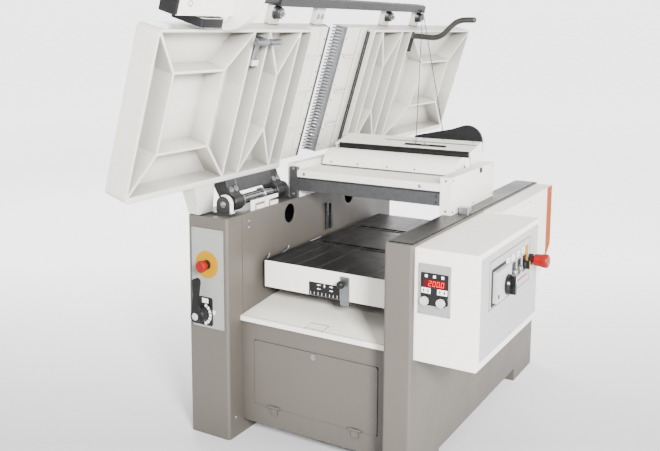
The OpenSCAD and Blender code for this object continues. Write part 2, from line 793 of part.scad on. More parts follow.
module hood_outlet() color(black) {
    y = hood_top[3][0];
    depth = 10;
    wall = 3;
    difference() {
        union() {
            along_y(y, depth) {
                translate(duct + [0, 8]) circle(r = duct_r + 10);
                translate(duct) polygon([[-212, 8], [-208, 18], [-62, 50], [-20, 64.5], [0, 68], [0, 8],
                    [60, 8], [60, -30], [50, -44], [-188, -42]]);
            }
            yrod(duct[0], y + depth - eps, duct[1], duct_r, 30);
        }
        yrod(duct[0], y + wall, duct[1], duct_r - wall, depth + 40);
        // Mouth that meets the one in the hood's back
        translate([mouth[0][0], y - 1, mouth[1][0]])
            cube([mouth[0][1] - mouth[0][0], wall + 2, mouth[1][1] - mouth[1][0]]);
    }
}

module hood_cables() color(steel) {
    top = lifted([rail_x + 6, 760, rail_z - 8]);
    rod_between([82, roll_out_y - 10, cut_z + 157.5], top, 1.5);
    rod_between([150, roll_out_y + 83, cut_z + 207.5], top + [0, 6, 0], 1.5);
    raised() translate([rail_x + 2, 748, rail_z - 12]) cube([10, 30, 12]);
}

// Places along Y of the hinge brackets and blocks
bracket_y = [-560, -214, 282, 590];
bracket_foot = [[-572, 26], [-214, 26], [270, 26], [590, 18]];
block_y = [-526, -270, 298, 534];
bracket_t = 14;

module hinge_brackets() color(iron) {
    for (i = [0 : 3])
        difference() {
            union() {
                yrod(hinge_x, bracket_y[i], hinge_z, 28, bracket_t);
                translate([hinge_x - 28, bracket_y[i], base_h]) cube([56, bracket_t, hinge_z - base_h]);
                translate([hinge_x - 40, bracket_foot[i][0], base_h]) cube([80, bracket_foot[i][1], 8]);
            }
            // Blind seat for the shaft's end
            yrod(hinge_x, bracket_y[i] + (i % 2 == 0 ? 3 : -3), hinge_z, hinge_r, bracket_t);
        }
    // Pad under the stop leg
    translate([xl0 + 4, -600, base_h]) cube([58, 84, leg_tip_z - slip - base_h]);
}

module hinge_shafts() color(steel)
    for (i = [0, 2]) {
        y = bracket_y[i] + 3;
        yrod(hinge_x, y, hinge_z, hinge_r, bracket_y[i + 1] + bracket_t - 3 - y);
    }

module hook_plates() color(white) for (y = [-460, -375])
    difference() {
        translate([xl1 - 12, y, base_h]) cube([4, 80, 36]);
        // Hooked slot, open at the far edge and at the foot
        translate([xl1 - 13, y + 24, base_h + 14]) cube([6, 60, 9]);
        translate([xl1 - 13, y + 24, base_h - 1]) cube([6, 10, 20]);
    }

module hinge_blocks() color(iron) raised() for (y = block_y) {
    w = 50;
    difference() {
        union() {
            yrod(hinge_x, y, hinge_z, 29, w);
            along_y(y, w) polygon([[hinge_x - 25, hinge_z + 14], [hinge_x + 8, hinge_z - 27.5],
                [rim_x - 14, rim_z - 12], [rim_x, rim_z - 4], [rim_x, rim_z + 54], [rim_x - 22, rim_z + 54]]);
        }
        yrod(hinge_x, y - 1, hinge_z, hinge_r + run, w + 2);
    }
}

// A cast rib between two points, with a wide root at the plate; its outline is X, then reach
module rib(a, b) {
    d = b - a;
    translate([a[0], a[1], 0]) rotate([0, 0, atan2(d[1], d[0])]) rotate([90, 0, 90]) linear_extrude(norm(d))
        polygon([[-rib_t / 2, rim_z], [rib_t / 2, rim_z], [rib_root / 2, under_z + 1],
            [-rib_root / 2, under_z + 1]]);
}

// One surfacing table, closed, with reach counted from the cutter axis
module casting(reach, rect) {
    x0 = table_x0;
    x1 = table_x1;
    in0 = x0 + rib_t;
    in1 = x1 - rib_t;
    w = x1 - x0;
    translate([x0, lip_back, under_z]) cube([w, rib_d - lip_back, plate_t]);
    // Recessed panel beside the cutter, open towards the lip
    difference() {
        translate([x0, lip_back, panel_z]) cube([w, rib_d - lip_back, under_z - panel_z + 1]);
        translate([x0 + 10, lip_back - 1, panel_z + 9])
            cube([w - 20, rib_d - lip_back - 8, under_z - panel_z - 9]);
    }
    for (x = [-98, 41, 177])
        translate([x, lip_back + 14, panel_z - 2]) cube([4, rib_d - lip_back - 40, 3]);
    // Rims, thick along the hinge, and their end wall with round corners
    rim_l = reach - rib_d + rib_t;
    translate([rim_x, rib_d - rib_t, rim_z]) difference() {
        tail_box(x1 - rim_x, rim_l, table_d, corner_r);
        translate([in0 - rim_x, rib_t, -1])
            rbox(in1 - in0, rim_l - 2 * rib_t, under_z - rim_z + 1, corner_r - rib_t);
    }
    // Cross ribs and the ribs that fork between them
    for (y = [rib_c, rib_b, rib_a])
        rib([in0 - 1, y], [in1 + 1, y]);
    rib([v_x0, rib_v], [v_x1, rib_v]);
    for (y = [rib_c, rib_b]) {
        rib([v_x1, rib_v], [in1, y]);
        rib([v_x0, rib_v], [in0, y]);
    }
    // Inner frame of the end bay and its diagonals
    for (i = [0, 1]) {
        rib([rect[0][0], rect[1][i]], [rect[0][1], rect[1][i]]);
        rib([rect[0][i], rect[1][0]], [rect[0][i], rect[1][1]]);
        rib([rect[0][i], rect[1][0]], [i == 0 ? in0 : in1, rib_a]);
        rib([rect[0][i], rect[1][1]], [i == 0 ? in0 : in1, reach - rib_t]);
    }
}

// A hardened lip beside the cutter, hollowed to follow the cutting circle
module lip(back, r) along_x(table_x0, table_x1 - table_x0) difference() {
    polygon([[lip_tip, work_z], [back, work_z], [back, panel_z], [lip_tip, panel_z]]);
    translate([0, cutter_z]) circle(r = r, $fn = 128);
}

module on_out_side() raised() translate([0, cutter_y, 0]) mirror([0, 1, 0]) children();

module on_in_side() raised() translate([0, cutter_y, 0]) children();

module outfeed_table() color(white) {
    on_out_side() casting(out_reach, out_rect);
    // Boss that carries the table lock
    raised() difference() {
        translate([168, lock_y - 18, rim_z + 2]) cube([20, 36, under_z - rim_z]);
        xrod(167, lock_y, lock_z, 8 + run, 22);
    }
    // Stop leg that stands on the column when the tables are open
    raised() intersection() {
        tip = function(x) let (dx = x - hinge_x, dz = leg_tip_z - hinge_z)
            [hinge_x + dx * cos(tilt) + dz * sin(tilt), hinge_z - dx * sin(tilt) + dz * cos(tilt)];
        along_y(-720, 300) polygon([[table_x0 + 1, rim_z + 4], [table_x0 + 1, work_z - 8],
            tip(xl0 + 9), tip(xl0 + 56)]);
        linear_extrude(2000)
            polygon([[table_x0 + 2, -690], [table_x0 + 2, -584], [-380, -531], [-380, -600]]);
    }
    // Web along the hinge, behind the shaft
    raised() along_y(-470, 150) polygon([[table_x0, work_z - 34], [table_x0, work_z - 14],
        [rim_x - 36, work_z - 24], [rim_x - 36, work_z - 34]]);
}

module outfeed_lip() color(steel) on_out_side() lip(lip_back - eps, lip_r);

module table_lock() color(steel) raised() {
    xrod(188 + slip, lock_y, lock_z, 14, 70 - slip);
    xrod(170, lock_y, lock_z, 8, 20);
    translate([250, lock_y - 8, lock_bar_z - 4]) cube([14, 16, lock_z + 10 - lock_bar_z]);
    yrod(257, lock_y - 70, lock_bar_z, 7, 140);
}

module infeed_table() color(white) on_in_side() difference() {
    casting(in_reach, in_rect);
    translate([186, lever_y - cutter_y - 19, rim_z - 2]) cube([table_x1 - rib_t - 186, 38, 32]);
}

module infeed_lip() color(steel) on_in_side() difference() {
    // Hollowed further, so that the table can go down beside the knives
    lip(lip_back - eps, lip_r + infeed_fall + 0.5);
    pitch = (table_x1 - table_x0) / lip_slots;
    for (i = [0 : lip_slots - 1])
        translate([table_x0 + (i + 0.25) * pitch, lip_tip - 1, panel_z - 1]) cube([pitch / 2, 27, table_d]);
}

module lever_bracket() color(black) raised() {
    xrod(195, lever_y, lever_z, 16, 60.5);
    xrod(195, lever_y, lever_z, 12, table_x1 - rib_t - 195);
}

module infeed_lever() color(iron) raised() {
    difference() {
        xrod(256, lever_y, lever_z, 17, 20);
        xrod(255, lever_y, lever_z, 12 + run, 22);
    }
    pts = [[266, lever_y, lever_z - 15], [290, lever_y, lever_z - 132], [385, lever_y, lever_z - 182],
        [406, lever_y, lever_z - 254]];
    for (i = [0 : 2])
        rod_between(pts[i], pts[i + 1], 11);
    for (i = [1 : 3])
        translate(pts[i]) sphere(r = 11.5);
}

module front_rail() color(iron) raised() {
    translate([rail_x, rail_y0, rail_z]) cube([rail_w, rail_y1 - rail_y0, rail_h]);
    yrod(guard_x, arm_y - 10, guard_z, 12, rail_y0 - arm_y + 10 + eps);
    for (y = lug_y)
        translate([y > cutter_y ? table_x1 + slip : table_x1, y - 30, work_z - 19])
            cube([rail_x - table_x1 - (y > cutter_y ? slip : 0), 60, 18]);
}

// Swing-up guard: a sickle arm on the rail's pin, a hollow beam and the pad below it
module guard_arm() color(white) raised() {
    wall = 4;
    difference() {
        union() {
            along_y(arm_y, arm_t) {
                translate([guard_x, guard_z]) circle(r = 22);
                polygon([[beam_x + 6, beam_z - 20], [beam_x + beam_w, beam_z - 20], [guard_x + 21, guard_z],
                    [guard_x - 21, guard_z]]);
                intersection() {
                    difference() {
                        translate([guard_x + 40, guard_z - 42]) circle(r = 125, $fn = 128);
                        translate([guard_x + 7, guard_z + 9]) circle(r = 97, $fn = 128);
                    }
                    translate([guard_x - 150, guard_z - 180]) square([200, 190]);
                }
            }
            translate([beam_x, arm_y + arm_t - beam_l, beam_z]) cube([beam_w, beam_l, beam_w]);
        }
        yrod(guard_x, arm_y - 1, guard_z, 12 + run, arm_t + 2);
        translate([beam_x + wall, arm_y + arm_t - beam_l - 1, beam_z + wall])
            cube([beam_w - 2 * wall, beam_l - arm_t, beam_w - 2 * wall]);
        // Clearance to the table's edge
        translate([table_x1 - 60, arm_y - 1, rim_z - 6]) cube([64, arm_t + 2, 200]);
    }
    // Pad across the table's edge, on two short posts
    translate([pad_x, pad_y, beam_z + 6]) rotate([90, 0, 90]) rbox(104, 119, 27, 12);
    for (y = [pad_y + 30, pad_y + 78])
        xrod(pad_x + 26, y, beam_z + 36, 6, beam_x - pad_x - 25);
}

module thickness_table() color(iron) {
    x0 = bed_x0;
    w = bed_x1 - bed_x0;
    l = bed_y1 - bed_y0;
    ends = [x0 + 18, bed_x1 - 34];
    difference() {
        union() {
            translate([x0, bed_y0, bed_z - bed_t]) cube([w, l, bed_t]);
            for (x = [x0, bed_x1 - 12])
                translate([x, bed_y0, bed_z - 80]) cube([12, l, 60]);
            for (y = [bed_y0, bed_front_roller - 60, bed_rear_roller + 50, bed_y1 - 12])
                translate([x0, y, bed_z - 80]) cube([w, 12, 60]);
            for (y = [bed_front_roller, bed_rear_roller], x = ends)
                translate([x, y - 20, bed_z - 46]) cube([16, 40, 30]);
        }
        for (y = [bed_front_roller, bed_rear_roller]) {
            translate([ends[0] + 15, y - 23, bed_z - bed_t - 30])
                cube([ends[1] - ends[0] - 14, 46, bed_t + 31]);
            xrod(ends[0] - 1, y, bed_roller_z, 8 + run, ends[1] - ends[0] + 18);
        }
    }
    // Front panel
    color(white) translate([x0, bed_y0 - 4, bed_z - fascia_h]) cube([w, 4, fascia_h]);
    // Square post that slides in the base
    difference() {
        translate([bed_mid_x - post_w / 2, bed_mid_y - post_w / 2, post_low])
            cube([post_w, post_w, bed_z - bed_t - post_low + 1]);
        translate([bed_mid_x, bed_mid_y, post_low - 1]) cylinder(r = screw_r + run, h = 42);
        translate([bed_mid_x, bed_mid_y, post_low + 40]) cylinder(r = screw_r + 8, h = bed_z - 60 - post_low);
    }
}

// A free roller in the bed
module bed_roller(y) {
    x0 = bed_x0 + 34;
    x1 = bed_x1 - 34;
    xrod(x0, y, bed_roller_z, bed_roller_r, x1 - x0);
    xrod(x0 - 14, y, bed_roller_z, 8, x1 - x0 + 28);
}

module bed_rollers_front() color(steel) bed_roller(bed_front_roller);

module bed_rollers_rear() color(steel) bed_roller(bed_rear_roller);

module roller_lever() color(steel) {
    low = bed_z - 108;
    y = bed_y0 - 6;
    translate([76, y - 4, low]) cube([32, 4, 96]);
    translate([76, y - eps, low]) cube([32, 24, 4]);
    translate([76, bed_y0 + 2, low + 4 - eps]) cube([32, 10, 24 - slip]);
    yrod(86, y - 12, bed_z - 34, 5, 10);
    translate([86, y - 20, bed_z - 34]) sphere(r = 13);
}

// Square guide the bed's post slides in
module lift_column() color(grey) difference() {
    union() {
        translate([bed_mid_x - tube_w / 2, bed_mid_y - tube_w / 2, cab_floor])
            cube([tube_w, tube_w, tube_top - cab_floor]);
        translate([bed_mid_x - 110, bed_mid_y - 110, cab_floor]) cube([220, 220, 12]);
    }
    clear = post_w + 0.2;
    translate([bed_mid_x - clear / 2, bed_mid_y - clear / 2, cab_floor + 12]) cube([clear, clear, tube_top]);
    translate([bed_mid_x, bed_mid_y, cab_floor - 1]) cylinder(r = 45, h = 14);
}

module lift_screw() color(steel) {
    translate([bed_mid_x, bed_mid_y, cab_floor + slip]) cylinder(r = 40, h = 14);
    translate([bed_mid_x, bed_mid_y, cab_floor + 14]) cylinder(r = screw_r, h = tube_top - cab_floor + 12);
}

left_column();
right_column();
lower_cabinet();
access_hatch();
hatch_lock();
shelf_cover();
control_plates();
stop_collars();
column_stop_button();
box_stop_button();
feed_lever();
control_box();
switch_base();
main_switch();
start_button();
feed_button();
mode_selector();
display_panel();
raise_button();
lower_button();
drive_cover();
wear_strip();
left_housing();
right_housing();
bearing_blocks();
front_beam();
front_cover();
kickback_fingers();
cutterblock();
motor_pulley();
main_motor();
drive_belts();
infeed_roller();
outfeed_roller();
feed_gearbox();
feed_chain();
chip_shield();
hood_shell();
hood_lip();
hood_outlet();
hood_cables();
hinge_brackets();
hinge_shafts();
hook_plates();
hinge_blocks();
outfeed_table();
outfeed_lip();
table_lock();
infeed_table();
infeed_lip();
lever_bracket();
infeed_lever();
front_rail();
guard_arm();
thickness_table();
bed_rollers_front();
bed_rollers_rear();
roller_lever();
lift_column();
lift_screw();
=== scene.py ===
"""Looks of the combination planer thicknesser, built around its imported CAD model.

Lengths in this file are millimetres in the part's own frame and become metres where a mesh is made.
"""
import math
from itertools import product

import bmesh
import bpy
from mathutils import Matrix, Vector


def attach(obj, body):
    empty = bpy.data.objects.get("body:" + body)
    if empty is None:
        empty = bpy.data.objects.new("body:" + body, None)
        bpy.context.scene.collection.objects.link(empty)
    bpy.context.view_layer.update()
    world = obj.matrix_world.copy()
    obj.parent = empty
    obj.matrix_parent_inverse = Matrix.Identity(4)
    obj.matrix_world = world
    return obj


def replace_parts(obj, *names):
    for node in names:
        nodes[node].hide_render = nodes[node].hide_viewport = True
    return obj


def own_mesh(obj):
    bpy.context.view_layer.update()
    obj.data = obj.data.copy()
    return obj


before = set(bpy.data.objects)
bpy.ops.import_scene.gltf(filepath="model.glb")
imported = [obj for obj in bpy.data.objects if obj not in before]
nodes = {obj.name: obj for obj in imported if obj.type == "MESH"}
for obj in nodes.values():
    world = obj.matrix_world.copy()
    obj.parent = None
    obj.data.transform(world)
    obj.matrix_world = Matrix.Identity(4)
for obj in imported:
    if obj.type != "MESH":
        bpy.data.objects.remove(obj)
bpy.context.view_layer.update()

# Places shared with the CAD model
TILT = math.radians(73.5)
HINGE = Vector((-297.6, 0, 795.2))
HINGE_R = 18
RIM_Z, PANEL_Z, WORK_Z = 832, 866, 912
TABLE_X = (-219, 289)
BLOCK_Y = (-526, -270, 298, 534)
LUG_Y = (-365, -70, 480, 785)
LUG_BY_HOUSING = -70
LEVER_Y = 655
LOCK_BAR = (257, 803)
COLUMN_STOP = (-329, 599)
DIAL = (-351, 427)
SWITCH_Y = (-349, -300, -250, -198)
SWITCH_Z = 639

# How far out the carrying surfaces lie: forwards, to the right or upwards
PLATE_OUT = 611.5
DISPLAY_OUT = 596
PANEL_OUT = 601.5
COVER_OUT = 472
WALL_OUT = -246
BED_OUT, BED_TOP = 426, 587
HEAD_OUT = 184
HOUSING_OUT = 353


class Face:
    """A flat place on the object: u and v lie in it, and n points out of it."""

    def __init__(self, origin, u, v):
        self.o, self.u, self.v = Vector(origin), Vector(u), Vector(v)
        self.n = self.u.cross(self.v)

    def at(self, a, b, c=0.0):
        return (self.o + self.u * a + self.v * b + self.n * c) / 1000


def lifted(x, y, z):
    """Where a point of the closed tables lies while they are open."""
    dx, dz = x - HINGE.x, z - HINGE.z
    return Vector((HINGE.x + dx * math.cos(TILT) - dz * math.sin(TILT), y,
                   HINGE.z + dx * math.sin(TILT) + dz * math.cos(TILT)))


ACROSS = Vector((math.cos(TILT), 0, math.sin(TILT)))
UPWARD = Vector((-math.sin(TILT), 0, math.cos(TILT)))
ALONG = Vector((0, 1, 0))

# Faces of the base: a and b are X and Z in front, Y and Z on the sides, X and Y on top
FRONT = Face((0, 0, 0), (1, 0, 0), (0, 0, 1))
BACK = Face((0, 0, 0), (-1, 0, 0), (0, 0, 1))
SIDE = Face((0, 0, 0), (0, 1, 0), (0, 0, 1))
TOP = Face((0, 0, 0), (1, 0, 0), (0, 1, 0))
# Faces of the open tables, in the closed tables' coordinates: under is down from the ribs' edge
UNDER = Face(lifted(0, 0, RIM_Z), ALONG, ACROSS)
WORK = Face(lifted(0, 0, 0), ACROSS, ALONG)
EDGE = Face(lifted(0, 0, 0), ALONG, UPWARD)
END = Face(lifted(0, 0, 0), ACROSS, UPWARD)
# Sloping foot of the hinge blocks, sloping shelf, sloping top of the hood, front of the chip shield
BLOCK_SLOPE = Face(lifted(-289.6, 0, 767.7), ALONG, ACROSS * 0.649 + UPWARD * 0.761)
SHELF = Face((0, -541, 418), (1, 0, 0), (0, 0.994, 0.1093))
HOOD_TOP = Face((0, 90, 934), (1, 0, 0), (0, 0.9764, 0.2161))
SHIELD = Face((0, -28.1, 878.4), (1, 0, 0), (0, 0.391, 0.921))


# Mesh building

def inset(points, d):
    """The outline moved inwards by d; it runs anticlockwise."""
    out = []
    for i, p in enumerate(points):
        a, b = Vector(points[i - 1]), Vector(points[(i + 1) % len(points)])
        p = Vector(p)
        n1 = (p - a).normalized()
        n2 = (b - p).normalized()
        n1, n2 = Vector((-n1.y, n1.x)), Vector((-n2.y, n2.x))
        k = n1 + n2
        k = k / max(k.length_squared, 0.4) * 2
        out.append(tuple(p + k * d))
    return out


def bridge(bm, rings):
    """Faces between neighbouring rings of the same number of points."""
    for r0, r1 in zip(rings, rings[1:]):
        for i in range(len(r0)):
            bm.faces.new((r0[i - 1], r0[i], r1[i], r1[i - 1]))


def slab(bm, face, outline, low, high, bevel=0.4):
    """A plate of that outline between two heights, with its upper edge broken."""
    loops = [(outline, low), (outline, high - bevel), (inset(outline, bevel), high)]
    rings = [[bm.verts.new(face.at(a, b, c)) for a, b in loop] for loop, c in loops]
    bridge(bm, rings)
    bm.faces.new(rings[-1])
    bm.faces.new(rings[0][::-1])


def printed(bm, face, outline, low, thick):
    """A thin mark on a surface."""
    slab(bm, face, outline, low, low + thick, 0.05)


def pierced(bm, face, outline, centre, r, low, high):
    """A plate of that outline with a round hole."""
    bevel = 0.2
    hole = []
    for a, b in outline:
        d = Vector((a - centre[0], b - centre[1])).normalized() * r
        hole.append((centre[0] + d.x, centre[1] + d.y))
    loops = [(hole, low), (outline, low), (outline, high - bevel), (inset(outline, bevel), high),
             (hole, high)]
    rings = [[bm.verts.new(face.at(a, b, c)) for a, b in loop] for loop, c in loops]
    bridge(bm, rings + rings[:1])


def turned(bm, face, centre, profile, segments=32):
    """A turned shape: the profile's (radius, height) pairs run from the top's middle outwards and down."""
    rings = []
    for r, c in profile:
        if r == 0:
            rings.append([bm.verts.new(face.at(centre[0], centre[1], c))])
            continue
        ring = []
        for i in range(segments):
            t = 2 * math.pi * i / segments
            ring.append(bm.verts.new(face.at(centre[0] + r * math.cos(t), centre[1] + r * math.sin(t), c)))
        rings.append(ring)
    for r0, r1 in zip(rings, rings[1:]):
        for i in range(segments):
            j = (i + 1) % segments
            if len(r0) == 1:
                bm.faces.new((r0[0], r1[i], r1[j]))
            elif len(r1) == 1:
                bm.faces.new((r0[j], r0[i], r1[0]))
            else:
                bm.faces.new((r0[i], r1[i], r1[j], r0[j]))


def tube(bm, points, r, sides=12):
    """A closed round bar along points in millimetres."""
    points = [Vector(p) for p in points]
    rings = []
    side = None
    for i, p in enumerate(points):
        way = (points[min(i + 1, len(points) - 1)] - points[max(i - 1, 0)]).normalized()
        if side is None:
            side = way.orthogonal()
        side = (side - way * side.dot(way)).normalized()
        other = way.cross(side)
        ring = []
        for k in range(sides):
            t = 2 * math.pi * k / sides
            ring.append(bm.verts.new((p + side * (r * math.cos(t)) + other * (r * math.sin(t))) / 1000))
        rings.append(ring)
    bridge(bm, rings)
    bm.faces.new(rings[0][::-1])
    bm.faces.new(rings[-1])


def rect(a0, a1, b0, b1):
    return [(a1, b1), (a0, b1), (a0, b0), (a1, b0)]


def oblong(a0, a1, b0, b1, r=1.0, steps=4):
    """A rectangle with rounded corners, anticlockwise."""
    out = []
    for (a, b), start in (((a1 - r, b1 - r), 0), ((a0 + r, b1 - r), 90),
                          ((a0 + r, b0 + r), 180), ((a1 - r, b0 + r), 270)):
        for i in range(steps + 1):
            t = math.radians(start + 90 * i / steps)
            out.append((a + r * math.cos(t), b + r * math.sin(t)))
    return out


def arc_band(centre, r0, r1, from_deg, to_deg, steps=24):
    """A bent band between two angles, anticlockwise."""
    ts = [math.radians(from_deg + (to_deg - from_deg) * i / steps) for i in range(steps + 1)]
    outer = [(centre[0] + r1 * math.cos(t), centre[1] + r1 * math.sin(t)) for t in ts]
    inner = [(centre[0] + r0 * math.cos(t), centre[1] + r0 * math.sin(t)) for t in reversed(ts)]
    return outer + inner


def collar(r0, r1, low, high, bevel=1):
    """Profile of a ring with both outer edges broken."""
    return [(r0, high), (r1 - bevel, high), (r1, high - bevel), (r1, low + bevel), (r1 - bevel, low),
            (r0, low), (r0, high)]


def dome(r, rise, last_deg, step_deg, base=0):
    """Profile of a round end, from the middle of its top down to an angle."""
    ts = [math.radians(t) for t in range(step_deg, last_deg + 1, step_deg)]
    return [(0, base + rise)] + [(r * math.sin(t), base + rise * math.cos(t)) for t in ts]


def border(bm, face, a0, a1, b0, b1, t, low, thick):
    """Four thin strips around a rectangle."""
    for box in ((a0, a1, b0, b0 + t), (a0, a1, b1 - t, b1),
                (a0, a0 + t, b0 + t, b1 - t), (a1 - t, a1, b0 + t, b1 - t)):
        printed(bm, face, rect(*box), low, thick)


def arrow(bm, face, a, b, w, h, low, thick, turn=0):
    """A plain arrow whose tip points along b, or turned by quarter turns."""
    shape = [(0, h / 2), (-w / 2, 0), (-w / 6, 0), (-w / 6, -h / 2), (w / 6, -h / 2), (w / 6, 0), (w / 2, 0)]
    for _ in range(turn):
        shape = [(-q, p) for p, q in shape]
    printed(bm, face, [(a + p, b + q) for p, q in shape], low, thick)


def digit(bm, face, a, b, w, h, t, parts, low, thick):
    """A leaning figure of seven strokes, lettered a to g from the top clockwise, with g in the middle."""
    gap, lean = 0.5, 0.12
    strokes = {"a": (0, w, h - t, h), "b": (w - t, w, h / 2, h), "c": (w - t, w, 0, h / 2), "d": (0, w, 0, t),
               "e": (0, t, 0, h / 2), "f": (0, t, h / 2, h), "g": (0, w, (h - t) / 2, (h + t) / 2)}
    for p in parts:
        a0, a1, b0, b1 = strokes[p]
        stroke = rect(a0 + gap, a1 - gap, b0 + gap, b1 - gap)
        printed(bm, face, [(a + x + lean * y, b + y) for x, y in stroke], low, thick)


def screw(bm, face, a, b, c, r=4.0, h=2.2):
    """A round screw head with a socket."""
    profile = [(0, 0.35), (0.42, 0.35), (0.46, 1), (0.7, 0.95), (0.94, 0.55), (1, 0)]
    turned(bm, face, (a, b), [(r * p, c + h * q) for p, q in profile], 20)


def hex_bolt(bm, face, a, b, c, r=8.0, h=None):
    """A hexagon head on a washer."""
    h = h or r * 0.9
    turned(bm, face, (a, b), [(0, c + h), (r * 0.8, c + h), (r, c + h - r * 0.1), (r, c + 2)], 6)
    turned(bm, face, (a, b), [(r * 0.5, c + 2), (r * 1.45, c + 2), (r * 1.5, c + 1.6), (r * 1.5, c)], 24)


def make(name, bm, mat, body, smooth=35):
    """Turns the mesh into a piece that rides on a body."""
    bmesh.ops.remove_doubles(bm, verts=bm.verts, dist=1e-6)
    bmesh.ops.recalc_face_normals(bm, faces=bm.faces)
    mesh = bpy.data.meshes.new(name)
    bm.to_mesh(mesh)
    bm.free()
    mesh.materials.append(mat)
    for p in mesh.polygons:
        p.use_smooth = True
    mesh.set_sharp_from_angle(angle=math.radians(smooth))
    obj = bpy.data.objects.new(name, mesh)
    bpy.context.scene.collection.objects.link(obj)
    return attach(obj, body)


# Materials

def srgb(r, g, b):
    """A screen colour from 0 to 255 as linear light."""
    lin = [((v / 255 + 0.055) / 1.055) ** 2.4 if v > 10 else v / 255 / 12.92 for v in (r, g, b)]
    return (*lin, 1.0)


def finish(name, colour, rough, metal=0.0, mottle=0.05, size=25, grain=0.12, grain_size=900,
           stretch=(1, 1, 1), wear=0.0, wear_and_highlight_colour=None, edge=1.2, coat=0.0, streak=0.0,
           streak_stretch=(1, 1, 1), corner_shade=0.0, shade_reach=0.03, glow=0.0, gloss=0.5, split=None):
    """A finish with mottled colour, uneven gloss, a fine grain and broken edges, which are lightened partly
    by worn paint and partly by a painted highlight; painted shade darkens its corners.

    size and grain_size are noise scales per metre; stretch squeezes the grain along an axis, as brushing
    does. edge is the width of broken edges in millimetres, and reach is how far painted shade comes out of
    corners in metres. split gives an axis, a place in metres and the colour below it.
    """
    m = bpy.data.materials.new(name)
    m.use_nodes = True
    tree = m.node_tree
    link = tree.links.new
    shader = tree.nodes["Principled BSDF"]
    shader.inputs["Metallic"].default_value = metal
    shader.inputs["Coat Weight"].default_value = coat
    shader.inputs["Specular IOR Level"].default_value = gloss
    shader.inputs["Emission Color"].default_value = colour
    shader.inputs["Emission Strength"].default_value = glow

    def node(kind, **sockets):
        n = tree.nodes.new(kind)
        for k, v in sockets.items():
            n.inputs[k.replace("_", " ")].default_value = v
        return n

    def blend(a, b, factor):
        n = tree.nodes.new("ShaderNodeMix")
        n.data_type = "RGBA"
        for socket, value in ((n.inputs[6], a), (n.inputs[7], b), (n.inputs[0], factor)):
            if isinstance(value, bpy.types.NodeSocket):
                link(value, socket)
            else:
                socket.default_value = value
        return n.outputs[2]

    def ranged(value, lo, hi, to_lo, to_hi):
        n = node("ShaderNodeMapRange", From_Min=lo, From_Max=hi, To_Min=to_lo, To_Max=to_hi)
        link(value, n.inputs["Value"])
        return n.outputs["Result"]

    place = node("ShaderNodeTexCoord").outputs["Object"]
    clouds = node("ShaderNodeTexNoise", Scale=size, Detail=5, Roughness=0.6)
    link(place, clouds.inputs["Vector"])
    squeeze = node("ShaderNodeMapping", Scale=stretch)
    link(place, squeeze.inputs["Vector"])
    fine = node("ShaderNodeTexNoise", Scale=grain_size, Detail=3, Roughness=0.55)
    link(squeeze.outputs["Vector"], fine.inputs["Vector"])
    dark = tuple(v * (1 - mottle) for v in colour[:3]) + (1,)
    light = tuple(min(1, v * (1 + mottle)) for v in colour[:3]) + (1,)
    shade = blend(dark, light, ranged(clouds.outputs["Fac"], 0.3, 0.7, 0, 1))
    if split:
        axis, limit, other = split
        parts = node("ShaderNodeSeparateXYZ")
        link(place, parts.inputs[0])
        below = tree.nodes.new("ShaderNodeMath")
        below.operation = "LESS_THAN"
        link(parts.outputs[axis], below.inputs[0])
        below.inputs[1].default_value = limit
        shade = blend(shade, other, below.outputs["Value"])
    if streak:
        lengthen = node("ShaderNodeMapping", Scale=streak_stretch)
        link(place, lengthen.inputs["Vector"])
        lines = node("ShaderNodeTexNoise", Scale=60, Detail=6, Roughness=0.7)
        link(lengthen.outputs["Vector"], lines.inputs["Vector"])
        bright = tuple(0.35 + 0.65 * v for v in dark[:3]) + (1,)
        shade = blend(shade, bright, ranged(lines.outputs["Fac"], 0.55, 0.85, 0, streak))
    rounded = tree.nodes.new("ShaderNodeBevel")
    rounded.samples = 4
    rounded.inputs["Radius"].default_value = edge / 1000
    # Broken edges are lightened: partly wear, and partly a painted highlight where rounded edges catch the
    # light.
    if wear:
        true = node("ShaderNodeNewGeometry")
        dot = tree.nodes.new("ShaderNodeVectorMath")
        dot.operation = "DOT_PRODUCT"
        link(rounded.outputs["Normal"], dot.inputs[0])
        link(true.outputs["Normal"], dot.inputs[1])
        patchy = tree.nodes.new("ShaderNodeMath")
        patchy.operation = "MULTIPLY"
        link(ranged(dot.outputs["Value"], 0.99, 0.86, 0, 1), patchy.inputs[0])
        link(ranged(clouds.outputs["Fac"], 0.35, 0.65, 0, wear), patchy.inputs[1])
        shade = blend(shade, wear_and_highlight_colour or light, patchy.outputs["Value"])
    # Painted shade: the colour darkens towards corners and recesses, out to reach metres from other surfaces.
    if corner_shade:
        shadow = node("ShaderNodeAmbientOcclusion", Distance=shade_reach)
        shadow.samples = 4
        shade_colour = tuple(v * 0.3 for v in colour[:3]) + (1,)
        shade = blend(shade, shade_colour, ranged(shadow.outputs["AO"], 0.85, 0.25, 0, corner_shade))
    link(shade, shader.inputs["Base Color"])
    uneven = ranged(clouds.outputs["Fac"], 0.25, 0.75, rough * 0.85, min(1, rough * 1.18))
    link(uneven, shader.inputs["Roughness"])
    bump = node("ShaderNodeBump", Strength=grain, Distance=0.0006)
    link(fine.outputs["Fac"], bump.inputs["Height"])
    link(rounded.outputs["Normal"], bump.inputs["Normal"])
    link(bump.outputs["Normal"], shader.inputs["Normal"])
    return m


BRUSHED_X = (0.04, 1, 1)
BRUSHED_Y = (1, 0.02, 1)
STREAKED_Y = (1, 0.03, 1)
